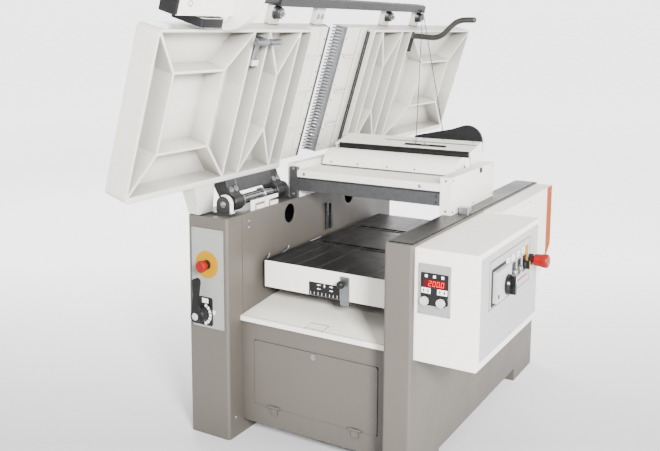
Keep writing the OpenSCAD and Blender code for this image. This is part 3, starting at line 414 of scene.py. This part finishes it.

# Paints
# Painted shade reaches far on the grey paint, darkening the inner walls between the columns and the sides
# under the control box.
GREY_PAINT = finish("grey_textured_paint", srgb(87, 82, 75), 0.5, mottle=0.025, size=9, grain=0.35,
                    grain_size=700, wear=0.5, wear_and_highlight_colour=srgb(112, 107, 100), edge=1.6, corner_shade=0.6, shade_reach=0.3)
WHITE_PAINT = finish("white_paint", srgb(234, 229, 219), 0.42, mottle=0.015, size=8, grain=0.18,
                     grain_size=600, wear=0.3, wear_and_highlight_colour=srgb(246, 243, 236), edge=1.4, coat=0.08,
                     corner_shade=0.25)
# Painted shade darkens the tables' pockets and the slots between the ribs; the lightened rib edges are partly
# a painted highlight.
CAST_PAINT = finish("painted_casting", srgb(216, 212, 202), 0.42, mottle=0.03, size=14, grain=0.5,
                    grain_size=260, wear=0.5, wear_and_highlight_colour=srgb(240, 237, 230), edge=3.5, coat=0.08,
                    corner_shade=0.9, shade_reach=0.12)
# The control panel's side is lilac, the column's plate is greenish grey
PANEL = finish("lilac_panel", srgb(166, 166, 169), 0.4, mottle=0.015, size=10, grain=0.1, edge=0.5, corner_shade=0.2,
               split=(0, 0.0, srgb(142, 144, 138)))
MOTOR = finish("motor_paint", srgb(66, 73, 80), 0.5, mottle=0.08, size=20, grain=0.3, edge=1.5, wear=0.4)
# Metals
SILVER = finish("silver_plate", srgb(150, 150, 149), 0.42, metal=0.3, mottle=0.03, size=30, edge=0.5)
GROUND = finish("ground_bed", srgb(20, 20, 20), 0.36, metal=0.35, mottle=0.2, size=20, grain=0.3,
                grain_size=420, stretch=BRUSHED_Y, streak=0.3, streak_stretch=STREAKED_Y, edge=0.8,
                gloss=0.35)
SCOURED = finish("scoured_lines", srgb(84, 84, 86), 0.5, metal=0.2, mottle=0.3, size=14, grain=0.2, edge=0.2)
WORK_FACE = finish("ground_work_face", srgb(124, 125, 126), 0.34, metal=0.85, mottle=0.08, size=18, grain=0.3,
                   grain_size=420, stretch=BRUSHED_Y, streak=0.25, streak_stretch=STREAKED_Y, edge=0.8)
WEAR = finish("wear_steel", srgb(22, 22, 23), 0.36, metal=0.7, mottle=0.03, size=6, grain=0.1, grain_size=500,
              stretch=(1, 0.05, 1), edge=0.8)
STEEL = finish("brushed_steel", srgb(130, 131, 133), 0.36, metal=0.9, mottle=0.1, size=45, grain=0.25,
               grain_size=700, stretch=BRUSHED_X, edge=1.0, wear=0.4, wear_and_highlight_colour=srgb(208, 209, 210))
BEAM = finish("zinced_steel", srgb(85, 86, 87), 0.42, metal=0.75, mottle=0.12, size=60, grain=0.3,
              grain_size=350, stretch=(0.15, 1, 1), edge=1.4, wear=0.5, wear_and_highlight_colour=srgb(165, 167, 170))
CHROME = finish("polished_shaft", srgb(150, 151, 153), 0.14, metal=1.0, mottle=0.03, size=50, grain=0.05,
                stretch=(1, 0.05, 1), edge=1.0)
ZINC = finish("bright_fasteners", srgb(150, 151, 153), 0.3, metal=0.85, mottle=0.1, size=120, grain=0.15,
              edge=0.5)
IRON = finish("dark_iron", srgb(46, 46, 47), 0.48, metal=0.35, mottle=0.15, size=40, grain=0.4,
              grain_size=500, edge=1.4, wear=0.5, wear_and_highlight_colour=srgb(88, 88, 89), corner_shade=0.3)
CAST_GREY = finish("grey_casting", srgb(66, 66, 67), 0.34, metal=0.8, mottle=0.18, size=45, grain=0.6,
                   grain_size=320, edge=2.0, wear=0.6, wear_and_highlight_colour=srgb(178, 178, 178), corner_shade=0.5)
OLIVE = finish("lever_tube", srgb(46, 46, 40), 0.32, mottle=0.08, size=30, grain=0.1, edge=1.0, coat=0.2)
# Plastics and rubber
BLACK = finish("black_plastic", srgb(22, 22, 23), 0.42, mottle=0.12, size=40, grain=0.25, grain_size=800,
               edge=1.0, wear=0.5, wear_and_highlight_colour=srgb(44, 44, 45), gloss=0.25)
GLOSS_BLACK = finish("gloss_black", srgb(16, 16, 17), 0.25, mottle=0.1, size=30, grain=0.06, edge=0.8,
                     coat=0.1, gloss=0.3)
LIGHT_PLASTIC = finish("light_plastic", srgb(178, 178, 175), 0.4, mottle=0.03, size=40, grain=0.15, edge=0.8,
                       corner_shade=0.3)
RUBBER = finish("rubber", srgb(16, 16, 16), 0.5, mottle=0.15, size=60, grain=0.4, grain_size=600, edge=1.2,
                gloss=0.3)
RED = finish("red_plastic", srgb(128, 8, 4), 0.4, size=60, grain=0.1, edge=1.0, gloss=0.3)
# Enamel, prints and the lit display
YELLOW = finish("yellow_enamel", srgb(166, 120, 0), 0.5, mottle=0.03, size=40, grain=0.08, edge=0.4,
                gloss=0.08)
ORANGE = finish("orange_stripe", srgb(150, 68, 0), 0.6, mottle=0.03, size=30, grain=0.08, edge=0.3, gloss=0.1)
# Dark print, also used for dark lines that paint the shade of the shelf's grooves
INK_AND_SHADE = finish("dark_print_and_shade", srgb(18, 18, 20), 0.7, size=60, grain=0.05, edge=0.2)
PALE = finish("white_print", srgb(236, 235, 231), 0.5, mottle=0.02, size=60, grain=0.05, edge=0.2)
WINDOW = finish("red_window", srgb(70, 2, 6), 0.25, mottle=0.06, size=80, grain=0.02, edge=0.3, gloss=0.3)
DIGITS = finish("lit_digits", srgb(255, 16, 20), 0.5, mottle=0.04, size=80, grain=0.02, edge=0.1, glow=1.0,
                gloss=0.1)

LOOK = {
    GREY_PAINT: "left_column right_column lower_cabinet access_hatch lift_column",
    WHITE_PAINT: "shelf_cover control_box drive_cover left_housing right_housing front_cover chip_shield "
                 "hood_shell hook_plates guard_arm",
    CAST_PAINT: "outfeed_table infeed_table",
    PANEL: "control_plates",
    SILVER: "display_panel",
    GROUND: "thickness_table",
    WEAR: "wear_strip",
    STEEL: "outfeed_roller cutterblock infeed_lip table_lock roller_lever lift_screw hood_cables",
    BEAM: "front_beam",
    CHROME: "hinge_shafts",
    IRON: "hinge_brackets bearing_blocks kickback_fingers infeed_roller feed_chain motor_pulley front_rail "
          "bed_rollers_front bed_rollers_rear outfeed_lip",
    OLIVE: "infeed_lever",
    CAST_GREY: "hinge_blocks",
    BLACK: "stop_collars feed_lever mode_selector lever_bracket hood_outlet",
    GLOSS_BLACK: "main_switch",
    LIGHT_PLASTIC: "switch_base raise_button lower_button",
    ZINC: "start_button feed_button hatch_lock",
    RED: "column_stop_button box_stop_button",
    RUBBER: "hood_lip drive_belts",
    MOTOR: "main_motor feed_gearbox",
}
for mat, names in LOOK.items():
    for name in names.split():
        mesh = nodes[name].data
        mesh.materials.clear()
        mesh.materials.append(mat)

# Camera at the photograph's place
HEADING = math.radians(31.68)
LOOKS_DOWN = 8.08
cam_data = bpy.data.cameras.new("camera")
cam_data.lens = 46.37
cam_data.sensor_width = 36
cam_data.shift_x = 0.0434
cam_data.shift_y = -0.111
cam = bpy.data.objects.new("camera", cam_data)
cam.location = Vector((1374.0, -2775.5, 1363.0)) / 1000
cam.rotation_euler = (math.radians(90 - LOOKS_DOWN), 0, HEADING)
bpy.context.scene.collection.objects.link(cam)
bpy.context.scene.camera = cam

# Lifting cables, drawn straight in the open pose and riding rigidly on the tables; the real ones go slack and
# gather at their bracket on the rail as the tables close
CABLE_R = 1.5
CABLE_STEPS = 16
top = lifted(364, 760, 864)
beside = top + Vector((0, 6, 0))
feet = Vector((82, 134, 944.5)), Vector((150, 227, 994.5))
bm = bmesh.new()
for foot, head in zip(feet, (top, beside)):
    tube(bm, [foot + (head - foot) * (i / CABLE_STEPS) for i in range(CABLE_STEPS + 1)], CABLE_R, 8)
cables = make("lifting_cables", bm, IRON, "tables")
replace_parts(cables, "hood_cables")
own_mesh(cables)
bm = bmesh.new()
slab(bm, UNDER, oblong(748, 778, 360, 370, 2), RIM_Z - 872, RIM_Z - 860, 1)
turned(bm, UNDER, (763, 365), [(0, -26), (3.4, -26.4), (4, -27), (4, -29)], 16)
make("cable_bracket", bm, IRON, "tables")

# Left column's plate: stop disc, dial of the feed lever, and the screws of all flat panels
DISC_R, DISC_HOLE, DISC_T = 46, 16.3, 1.5
DIAL_OUT = PLATE_OUT + 1.1
bm = bmesh.new()
face_out = PLATE_OUT + DISC_T
turned(bm, FRONT, COLUMN_STOP,
       [(DISC_HOLE, face_out), (DISC_R - 0.4, face_out), (DISC_R, face_out - 0.4), (DISC_R, PLATE_OUT),
        (DISC_HOLE, PLATE_OUT), (DISC_HOLE, face_out)], 64)
make("stop_disc", bm, YELLOW, "base")
bm = bmesh.new()
pierced(bm, FRONT, oblong(-388, -307, 389, 487, 8, 6), DIAL, 9, PLATE_OUT, DIAL_OUT)
make("dial_plate", bm, BLACK, "base")
bm = bmesh.new()
for i in range(7):
    start = -72 + i * 21
    printed(bm, FRONT, arc_band(DIAL, 29, 39, start, start + 16, 4), DIAL_OUT, 0.3)
printed(bm, FRONT, oblong(-351, -325, 466, 482, 1), DIAL_OUT, 0.3)
printed(bm, FRONT, oblong(-309.5, -297, 432, 445, 1), PLATE_OUT, 0.4)
make("dial_marks", bm, PALE, "base")
bm = bmesh.new()
turned(bm, FRONT, DIAL, [(0, 655.6), (8, 655.4), (11, 654.6), (12.5, 653)], 32)
make("lever_cap", bm, LIGHT_PLASTIC, "feed_lever")
bm = bmesh.new()
for x, z in product((-386, -268), (712, 553, 390)):
    screw(bm, FRONT, x, z, PLATE_OUT, 3.2, 1.6)
for y, z, h in ((-486, 732, 4), (-486, 711, 4), (-572, 70, 3)):
    screw(bm, SIDE, y, z, WALL_OUT, 6, h)
for y, z in product((-560, -310, -45), (728, 450)):
    screw(bm, SIDE, y, z, PANEL_OUT, 3, 1.5)
for x, z in product((427, 515), (706, 567)):
    screw(bm, FRONT, x, z, DISPLAY_OUT, 2.2, 1.0)
for y, z in product((20, 300, 570), (452, 738)):
    screw(bm, SIDE, y, z, COVER_OUT, 4, 2)
make("panel_screws", bm, ZINC, "base")

# Display: black glass around its two keys, red figures, key signs
KEY_X, KEY_Z = (444, 494), 604
GLASS = (DISPLAY_OUT + 0.2, DISPLAY_OUT + 1.8)
ON_GLASS = DISPLAY_OUT + 1.7
LABEL_OUT = ON_GLASS + 0.7
WINDOW_OUT = ON_GLASS + 0.9
bm = bmesh.new()
for box in ((430.5, 513.5, 616, 686), (430.5, 436.5, 596, 616), (501.6, 513.5, 596, 616),
            (451.6, 486.4, 591, 616)):
    slab(bm, FRONT, oblong(*box, 2.5), *GLASS, 0.2)
for x in KEY_X:
    pierced(bm, FRONT, oblong(x - 13.5, x + 13.5, 590, 618, 9, 6), (x, KEY_Z), 10.5, *GLASS)
make("display_glass", bm, GLOSS_BLACK, "base")
bm = bmesh.new()
slab(bm, FRONT, oblong(439, 505, 644, 668, 1.5), ON_GLASS, WINDOW_OUT, 0.15)
make("display_window", bm, WINDOW, "base")
bm = bmesh.new()
for x, parts in ((453, "abged"), (465.5, "abcdef"), (478, "abcdef"), (491, "abcdef")):
    digit(bm, FRONT, x, 647.5, 9.6, 17, 2.6, parts, WINDOW_OUT, 0.3)
printed(bm, FRONT, rect(488, 490.2, 647.8, 650), WINDOW_OUT, 0.3)
make("display_figures", bm, DIGITS, "base")
bm = bmesh.new()
for x in (447, 472, 497):
    printed(bm, FRONT, oblong(x - 4, x + 4, 673, 681, 0.8), ON_GLASS, 0.7)
for x0, x1 in ((432.5, 461), (481, 511.5)):
    printed(bm, FRONT, oblong(x0, x1, 626, 642, 1), ON_GLASS, 0.7)
make("display_labels", bm, PALE, "base")
bm = bmesh.new()
for x, turn in ((440, 0), (453, 2), (489, 0), (503, 2)):
    arrow(bm, FRONT, x, 634, 8, 11, LABEL_OUT, 0.3, turn)
make("display_signs", bm, INK_AND_SHADE, "base")

# Control panel: frame line that stops behind the stop button, plates and labels of the switches, patches
LINE_T = 0.4
bm = bmesh.new()
for box in ((-508, -126, 572, 574.2), (-508, -126, 713.8, 716), (-508, -505.8, 574.2, 713.8),
            (-128.2, -126, 574.2, 612), (-128.2, -126, 666, 713.8)):
    printed(bm, SIDE, rect(*box), PANEL_OUT, LINE_T)
slab(bm, SIDE, oblong(-491, -349, 577, 690, 5), PANEL_OUT, PANEL_OUT + 0.5, 0.2)
slab(bm, SIDE, oblong(-470, -458, 600, 612, 1), 615.5, 616.2, 0.2)
for y in SWITCH_Y:
    arrow(bm, SIDE, y, 684, 7, 12, PANEL_OUT + 2 * LINE_T, 0.3, 2)
    printed(bm, SIDE, oblong(y - 15.4, y + 15.4, 672.4, 695.6, 1), PANEL_OUT, LINE_T)
make("panel_print", bm, INK_AND_SHADE, "base")
bm = bmesh.new()
for y in SWITCH_Y:
    slab(bm, SIDE, oblong(y - 14, y + 14, 673.8, 694.2, 1), PANEL_OUT + LINE_T, PANEL_OUT + 2 * LINE_T, 0.1)
make("panel_labels", bm, PALE, "base")
bm = bmesh.new()
for y, r in zip(SWITCH_Y[1:], (11.4, 11.4, 14.4)):
    pierced(bm, SIDE, oblong(y - 16.8, y + 16.8, 617.2, 668.8, 4, 8), (y, SWITCH_Z), r, 605.5, 606.3)
make("button_frames", bm, BLACK, "base")
bm = bmesh.new()
slab(bm, SIDE, rect(-180, -146, 612, 692), PANEL_OUT, PANEL_OUT + 0.5, 0.15)
make("panel_patch", bm, YELLOW, "base")
bm = bmesh.new()
slab(bm, SIDE, rect(-350, -150, 594, 599), PANEL_OUT, PANEL_OUT + 0.5, 0.15)
slab(bm, SIDE, [(589.5, 756.5), (525, 756.5), (525, 471), (589.5, 519)], COVER_OUT, COVER_OUT + 0.7, 0.3)
make("plain_stripes", bm, ORANGE, "base")
bm = bmesh.new()
slab(bm, SIDE, oblong(-201.5, -194.5, 628, 650, 1.5), 624.5, 625.3, 0.3)
make("selector_mark", bm, YELLOW, "mode_selector")
bm = bmesh.new()
slab(bm, SIDE, oblong(-386.5, -383.5, 630, 650, 1), 641.5, 642.1, 0.2)
make("switch_mark", bm, PALE, "main_switch")

# Steel block on the wear_strip; dark lines as painted shade of the shelf's pressed handle outline and of a
# line along its front edge
bm = bmesh.new()
slab(bm, TOP, oblong(360.6, 395.4, -135.4, -104.6, 4), 762.5, 783, 1)
make("locating_block", bm, ZINC, "base")
bm = bmesh.new()
border(bm, SHELF, 2, 70, 12, 52, 2.6, 0, 0.3)
for box in ((-244, 316, 7.4, 8.6), (2, 4.6, 0.5, 12), (67.4, 70, 0.5, 12)):
    printed(bm, SHELF, rect(*box), 0, 0.3)
make("shelf_groove_shade", bm, INK_AND_SHADE, "base")

# Slotted bracket on the left column's inner wall
bm = bmesh.new()
slab(bm, SIDE, rect(24, 40, 602, 706), WALL_OUT, WALL_OUT + 9, 1)
slab(bm, SIDE, rect(52, 64, 602, 700), WALL_OUT, WALL_OUT + 13, 1)
screw(bm, SIDE, 32, 660, WALL_OUT + 9, 5, 3)
make("column_bracket", bm, CAST_GREY, "base")

# Thicknessing bed: painted front, scale, edge strip with clips, scoured lines, ball knob
SKIN_OUT = BED_OUT + 0.5
SCALE_OUT = SKIN_OUT + 0.4
STRIP_X, STRIP_TOP = -219.5, BED_TOP + 3.5
bm = bmesh.new()
slab(bm, FRONT, oblong(-223, 295, 494, BED_TOP, 3), BED_OUT, SKIN_OUT, 0.2)
make("bed_front", bm, WHITE_PAINT, "bed")
bm = bmesh.new()
slab(bm, FRONT, oblong(-46, 72, 494.5, 540, 1.5), SKIN_OUT, SCALE_OUT, 0.15)
slab(bm, TOP, rect(STRIP_X - 3, STRIP_X + 3, -418, 450), BED_TOP, STRIP_TOP, 0.8)
make("bed_scale", bm, BLACK, "bed")
bm = bmesh.new()
for i in range(8):
    x = -40 + i * 14.5
    printed(bm, FRONT, rect(x, x + 1.3, 497, 507), SCALE_OUT, 0.2)
for x, z, turn in ((-8, 532, 1), (-8, 519, 1), (14, 532, 2), (40, 532, 3), (40, 519, 3)):
    arrow(bm, FRONT, x, z, 7, 15, SCALE_OUT, 0.2, turn)
make("bed_ticks", bm, PALE, "bed")
bm = bmesh.new()
for y, l, rise in ((-418, 10, 15), (-320, 36, 15), (-130, 70, 2)):
    bent = ((0, 0), (l * 0.5, rise * 0.1), (l, rise * 0.35), (l + 6, rise))
    tube(bm, [(STRIP_X, y + dy, STRIP_TOP + 0.3 + dz) for dy, dz in bent], 2.4)
make("bed_clips", bm, ZINC, "bed")
bm = bmesh.new()
for x in (-150, -96, -20, 64, 150, 226):
    printed(bm, TOP, rect(x, x + 2, -418, 448), BED_TOP, 0.15)
make("bed_lines", bm, SCOURED, "bed")
bm = bmesh.new()
turned(bm, FRONT, (86, 553), dome(13.4, 13.4, 150, 10, 448) + [(6.7, 434), (7.5, 432)], 32)
make("lever_knob", bm, BLACK, "roller_lever")

# Head: toothed scale along the beam, screws, latch
TOOTH_PITCH, TOOTH_W = 7.5, 5.6
bm = bmesh.new()
teeth = []
for i in range(73):
    x = 308 - i * TOOTH_PITCH
    teeth += [(x, 838.6), (x - TOOTH_W, 838.6), (x - TOOTH_W, 835.4), (x - TOOTH_PITCH, 835.4)]
slab(bm, FRONT, teeth + [(-239.5, 832.4), (308, 832.4)], 176, 181.5, 0.15)
for z in (822, 802):
    screw(bm, FRONT, 300, z, HEAD_OUT, 4.5, 2)
make("head_screws_dark", bm, IRON, "base")
bm = bmesh.new()
for x in (-190, -78, 42, 150):
    screw(bm, SHIELD, x, 0, 0, 3.2, 1.6)
make("shield_screws", bm, IRON, "shield")
bm = bmesh.new()
for x, z, r in ((240, 851, 6), (-214, 851, 6), (-259, 868, 5), (-259, 775, 5)):
    screw(bm, FRONT, x, z, HEAD_OUT, r, 3)
make("head_screws", bm, ZINC, "base")
bm = bmesh.new()
for y, z in ((-172, 878), (-172, 772), (216, 878), (216, 772), (22, 772)):
    screw(bm, SIDE, y, z, HOUSING_OUT, 3.6, 1.6)
slab(bm, SIDE, oblong(80, 100, 868, 886, 2), HOUSING_OUT, HOUSING_OUT + 3, 0.8)
for z in (876, 774):
    screw(bm, FRONT, 333, z, HEAD_OUT, 3.4, 1.6)
make("housing_fittings", bm, BLACK, "base")

# Hood: slot liner, round lip, seam, studs, eye of the cables
bm = bmesh.new()
border(bm, HOOD_TOP, 36, 201, 36.5, 55.5, 4, 0, 1.4)
slab(bm, HOOD_TOP, rect(40.2, 196.8, 40.2, 52), -3, 0.7, 0.3)
tube(bm, [(x, 86.8, 934.5) for x in (-216, 46, 308)], 4.6, 16)
make("hood_trim", bm, RUBBER, "hood")
bm = bmesh.new()
slab(bm, HOOD_TOP, oblong(-60, 304, 77, 83, 1), 0, 1.8, 0.4)
for x in (90, 170, 285):
    screw(bm, HOOD_TOP, x, 114, 0, 4.5, 5)
slab(bm, HOOD_TOP, oblong(104, 136, 43, 49, 1.5), 0.7, 2.8, 0.6)
turned(bm, HOOD_TOP, (120, 46), [(0, 11), (3, 10.6), (3.6, 9), (3.6, 2.6)], 16)
make("hood_fittings", bm, ZINC, "hood")

# Hinge: bolts, clamp rings and marks on the shafts, webs between the blocks, strap over the near bracket
PIVOT = (HINGE.x, HINGE.z)
STRAP_R = (28.3, 31.5)
STRAP = (545, 562, 0.6)
bm = bmesh.new()
for face, a, c, foot_y in ((FRONT, HINGE.x, 560, -559), (BACK, -HINGE.x, 604, 599)):
    hex_bolt(bm, face, a, HINGE.z, c, 7)
    for d in (-32, 32):
        hex_bolt(bm, TOP, HINGE.x + d, foot_y, 768, 4.5)
for c in (466, 340):
    turned(bm, FRONT, PIVOT, collar(HINGE_R + 0.1, 24, c - 5, c + 5))
make("hinge_bolts", bm, ZINC, "base")
bm = bmesh.new()
for y, d in product(BLOCK_Y, (12, 38)):
    hex_bolt(bm, BLOCK_SLOPE, y + d, 52, 0, 6.5)
make("block_bolts", bm, ZINC, "tables")
bm = bmesh.new()
web = [(-268, 803), (-245, 818), (-231.3, 828), (-231.3, 850), (-253, 850), (-280, 824)]
for c0, c1 in ((270.2, 475.8), (-533.8, -348.2)):
    slab(bm, END, web, c0, c1, 1)
make("hinge_webs", bm, CAST_GREY, "tables")
bm = bmesh.new()
slab(bm, FRONT, arc_band(PIVOT, *STRAP_R, -2, 104, 20), *STRAP)
slab(bm, FRONT, rect(HINGE.x + STRAP_R[0], HINGE.x + STRAP_R[1], 768.3, HINGE.z), *STRAP)
slab(bm, FRONT, oblong(HINGE.x + 26, HINGE.x + 38, 768.2, 771.4, 1), *STRAP)
make("hinge_strap", bm, WHITE_PAINT, "base")
bm = bmesh.new()
for i in range(8):
    last = 130 if i % 4 == 0 else 70
    printed(bm, FRONT, arc_band(PIVOT, HINGE_R + 0.03, HINGE_R + 0.3, 0, last, 16), 448 - i * 11, 1.6)
make("shaft_marks", bm, INK_AND_SHADE, "base")

# Tables: ground work faces
for name, y0, y1, body in (("outfeed_work_face", -1008, -33, "tables"),
                           ("infeed_work_face", 113, 1324, "infeed")):
    bm = bmesh.new()
    slab(bm, WORK, oblong(*TABLE_X, y0, y1, 18), WORK_Z, WORK_Z + 0.3, 0.1)
    make(name, bm, WORK_FACE, body)

# Lugs of the rail with bosses and bolts; the lug above the housing only has room for two flat bolts
LUG_FOOT, BOSS_FOOT, BOSS_X = -60.2, -38, 334
bm = bmesh.new()
for y in LUG_Y:
    slab(bm, UNDER, oblong(y - 30.6, y + 30.6, 291, 357.5, 3), -79.4, LUG_FOOT, 1.5)
make("lug_covers", bm, CAST_PAINT, "tables")
bosses = [y for y in LUG_Y if y != LUG_BY_HOUSING]
bm = bmesh.new()
for y in bosses:
    turned(bm, UNDER, (y, BOSS_X),
           [(0, BOSS_FOOT), (16, BOSS_FOOT), (19, -40), (22, -56), (26, LUG_FOOT - 0.2)], 32)
make("lug_bosses", bm, CAST_GREY, "tables")
bm = bmesh.new()
for y, d in product(LUG_Y, (-15, 15)):
    screw(bm, EDGE, y + d, 889, 388, 5, 3)
for d in (-15, 15):
    hex_bolt(bm, UNDER, LUG_BY_HOUSING + d, 322, LUG_FOOT, 7, 3.4)
for y in bosses:
    hex_bolt(bm, UNDER, y, BOSS_X, BOSS_FOOT, 9, 11)
make("rail_bolts", bm, ZINC, "tables")

# Shallow ribs on the panels beside the lips; the outfeed ones pass close above the front cover
ON_PANEL = RIM_Z - PANEL_Z
for name, y0, y1, rise, body in (("outfeed_panel_ribs", -199, -76, 1.6, "tables"),
                                 ("infeed_panel_ribs", 138, 226, 7, "infeed")):
    bm = bmesh.new()
    for box in [(y0, y1, x - 5, x + 5) for x in (173, 28, -110)] + [(y1 - 4, y1 + 4, -214, 284)]:
        slab(bm, UNDER, rect(*box), ON_PANEL - 0.5, ON_PANEL + rise, rise / 3)
    make(name, bm, CAST_PAINT, body)

# Screws along the lips; dark strips as painted shade in the gap beside the infeed table's first rib and along
# the outfeed lip
for name, y, body in (("outfeed_lip_screws", -46, "tables"), ("infeed_lip_screws", 126, "infeed")):
    bm = bmesh.new()
    for i in range(8):
        screw(bm, UNDER, y, -190 + i * 62, ON_PANEL, 3.4, 1.2)
    make(name, bm, IRON, body)
bm = bmesh.new()
for z in (850, 858):
    slab(bm, END, rect(-186, 276, z, z + 6), -278.2, -275.4, 0.6)
make("infeed_shade_strips", bm, IRON, "infeed")
bm = bmesh.new()
slab(bm, UNDER, oblong(-37, -23.5, -218, 288, 2), ON_PANEL - 1, ON_PANEL + 1.2, 0.5)
make("outfeed_shade_strip", bm, IRON, "tables")

# Table lock: a round grip on each end of its bar, mirrored about the stem
STEM_OUT = 508
bm = bmesh.new()
grip = [(0, 71), (7, 71), (9.8, 69.6), (10.5, 67), (10.5, 12), (9, 9.5), (7.1, 9.5)]
for way in (1, -1):
    turned(bm, END, LOCK_BAR, [(r, STEM_OUT + way * c) for r, c in grip], 24)
make("lock_grips", bm, STEEL, "table_lock")

# Height lever: one bent tube with a round end on its hub
LEVER_R, BEND, BEND_STEPS, TIP_RISE = 12, 40, 10, 11
bends = [Vector(p) for p in ((266, 825), (290, 708), (385, 658), (406, 586))]
line = [bends[0]]
for a, b, c in zip(bends, bends[1:], bends[2:]):
    start = b + (a - b).normalized() * BEND
    end = b + (c - b).normalized() * BEND
    for i in range(BEND_STEPS + 1):
        t = i / BEND_STEPS
        line.append(start * (1 - t) ** 2 + b * (2 * t * (1 - t)) + end * t ** 2)
line.append(bends[-1])
line = [lifted(x, LEVER_Y, z) for x, z in line]
bm = bmesh.new()
tube(bm, line, LEVER_R, 24)
way = (line[-1] - lifted(bends[-2].x, LEVER_Y, bends[-2].y)).normalized()
turned(bm, Face(line[-1], ALONG, way.cross(ALONG)), (0, 0), dome(LEVER_R, TIP_RISE, 90, 15), 24)
turned(bm, EDGE, (LEVER_Y, 840), collar(LEVER_R + 0.2, 17, 256, 276), 40)
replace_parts(make("lever_tube", bm, OLIVE, "infeed_lever"), "infeed_lever")

# Guard: dark pad, end cap, hole and screws of the beam
bm = bmesh.new()
slab(bm, EDGE, oblong(-864.6, -759.4, 805.4, 925.6, 12.6, 6), 302.4, 330.6, 2.5)
slab(bm, END, oblong(337.4, 398.6, 799.4, 860.6, 4), 988, 997, 1.5)
turned(bm, UNDER, (-940, 372), [(0, 31.4), (6, 31.4), (7, 32.4), (8.5, 32.6), (9, 32)], 24)
make("guard_trim", bm, BLACK, "guard")
bm = bmesh.new()
for y in (-834, -786):
    screw(bm, EDGE, y, 836, 398, 5, 3)
turned(bm, END, (373, 889), [(0, 741), (9, 741), (11, 739.6), (16, 739.4), (17, 738.6), (17, 735)], 32)
make("guard_bolts", bm, ZINC, "guard")

# Pale round floor whose rim curves up into a wall; flat radius, rim radius and wall height are in metres
FLAT, RIM, WALL = 12, 3, 9
bm = bmesh.new()
bowl = [(0, 0), (FLAT / 3, 0), (FLAT * 2 / 3, 0), (FLAT, 0)]
for t in range(15, 91, 15):
    bowl.append((FLAT + RIM * math.sin(math.radians(t)), RIM - RIM * math.cos(math.radians(t))))
bowl.append((FLAT + RIM, WALL))
turned(bm, TOP, (0, 0), [(r * 1000, h * 1000) for r, h in bowl], 72)
floor_mesh = bpy.data.meshes.new("floor")
bm.to_mesh(floor_mesh)
bm.free()
for p in floor_mesh.polygons:
    p.use_smooth = True

# The floor glows faintly far away, and more behind the object as the photograph's camera sees it
paper = finish("floor", srgb(205, 205, 206), 0.7, mottle=0.01, size=2, grain=0.05, edge=0.1)
tree = paper.node_tree
place = tree.nodes.new("ShaderNodeTexCoord").outputs["Object"]
behind = tree.nodes.new("ShaderNodeVectorMath")
behind.operation = "DOT_PRODUCT"
behind.inputs[1].default_value = (-math.sin(HEADING), math.cos(HEADING), 0)
away = tree.nodes.new("ShaderNodeVectorMath")
away.operation = "LENGTH"
brighter = tree.nodes.new("ShaderNodeMath")
brighter.operation = "MAXIMUM"
for i, (node, near, far, most) in enumerate(((behind, -0.4, 1.8, 4.0), (away, 4.0, 12.0, 0.55))):
    tree.links.new(place, node.inputs[0])
    glow = tree.nodes.new("ShaderNodeMapRange")
    for k, v in (("From Min", near), ("From Max", far), ("To Min", 0.0), ("To Max", most)):
        glow.inputs[k].default_value = v
    tree.links.new(node.outputs["Value"], glow.inputs["Value"])
    tree.links.new(glow.outputs["Result"], brighter.inputs[i])
tree.links.new(brighter.outputs["Value"], tree.nodes["Principled BSDF"].inputs["Emission Strength"])
floor_mesh.materials.append(paper)
floor = bpy.data.objects.new("floor", floor_mesh)
bpy.context.scene.collection.objects.link(floor)

world = bpy.data.worlds.new("studio")
bpy.context.scene.world = world
world.use_nodes = True
world.node_tree.nodes["Background"].inputs["Color"].default_value = (1, 0.99, 0.97, 1)
world.node_tree.nodes["Background"].inputs["Strength"].default_value = 0.15


def softbox(name, place, aim_z, size, power):
    """A square soft light, in metres and watts, that points at a height on the object's axis."""
    data = bpy.data.lights.new(name, "AREA")
    data.shape = "RECTANGLE"
    data.size = data.size_y = size
    data.energy = power
    obj = bpy.data.objects.new(name, data)
    obj.location = place
    obj.rotation_euler = (Vector((0, 0, aim_z)) - Vector(place)).to_track_quat("-Z", "Y").to_euler()
    bpy.context.scene.collection.objects.link(obj)


softbox("key", (3.0, -3.3, 2.2), 0.7, 0.9, 700)
softbox("fill", (-1.2, -4.2, 2.0), 0.6, 1.8, 60)
softbox("side", (4.4, 0.3, 1.7), 0.7, 1.6, 130)
softbox("back", (-3.6, 2.6, 3.0), 0.7, 1.8, 170)
softbox("top", (0.3, 0.2, 4.4), 0.8, 2.0, 50)
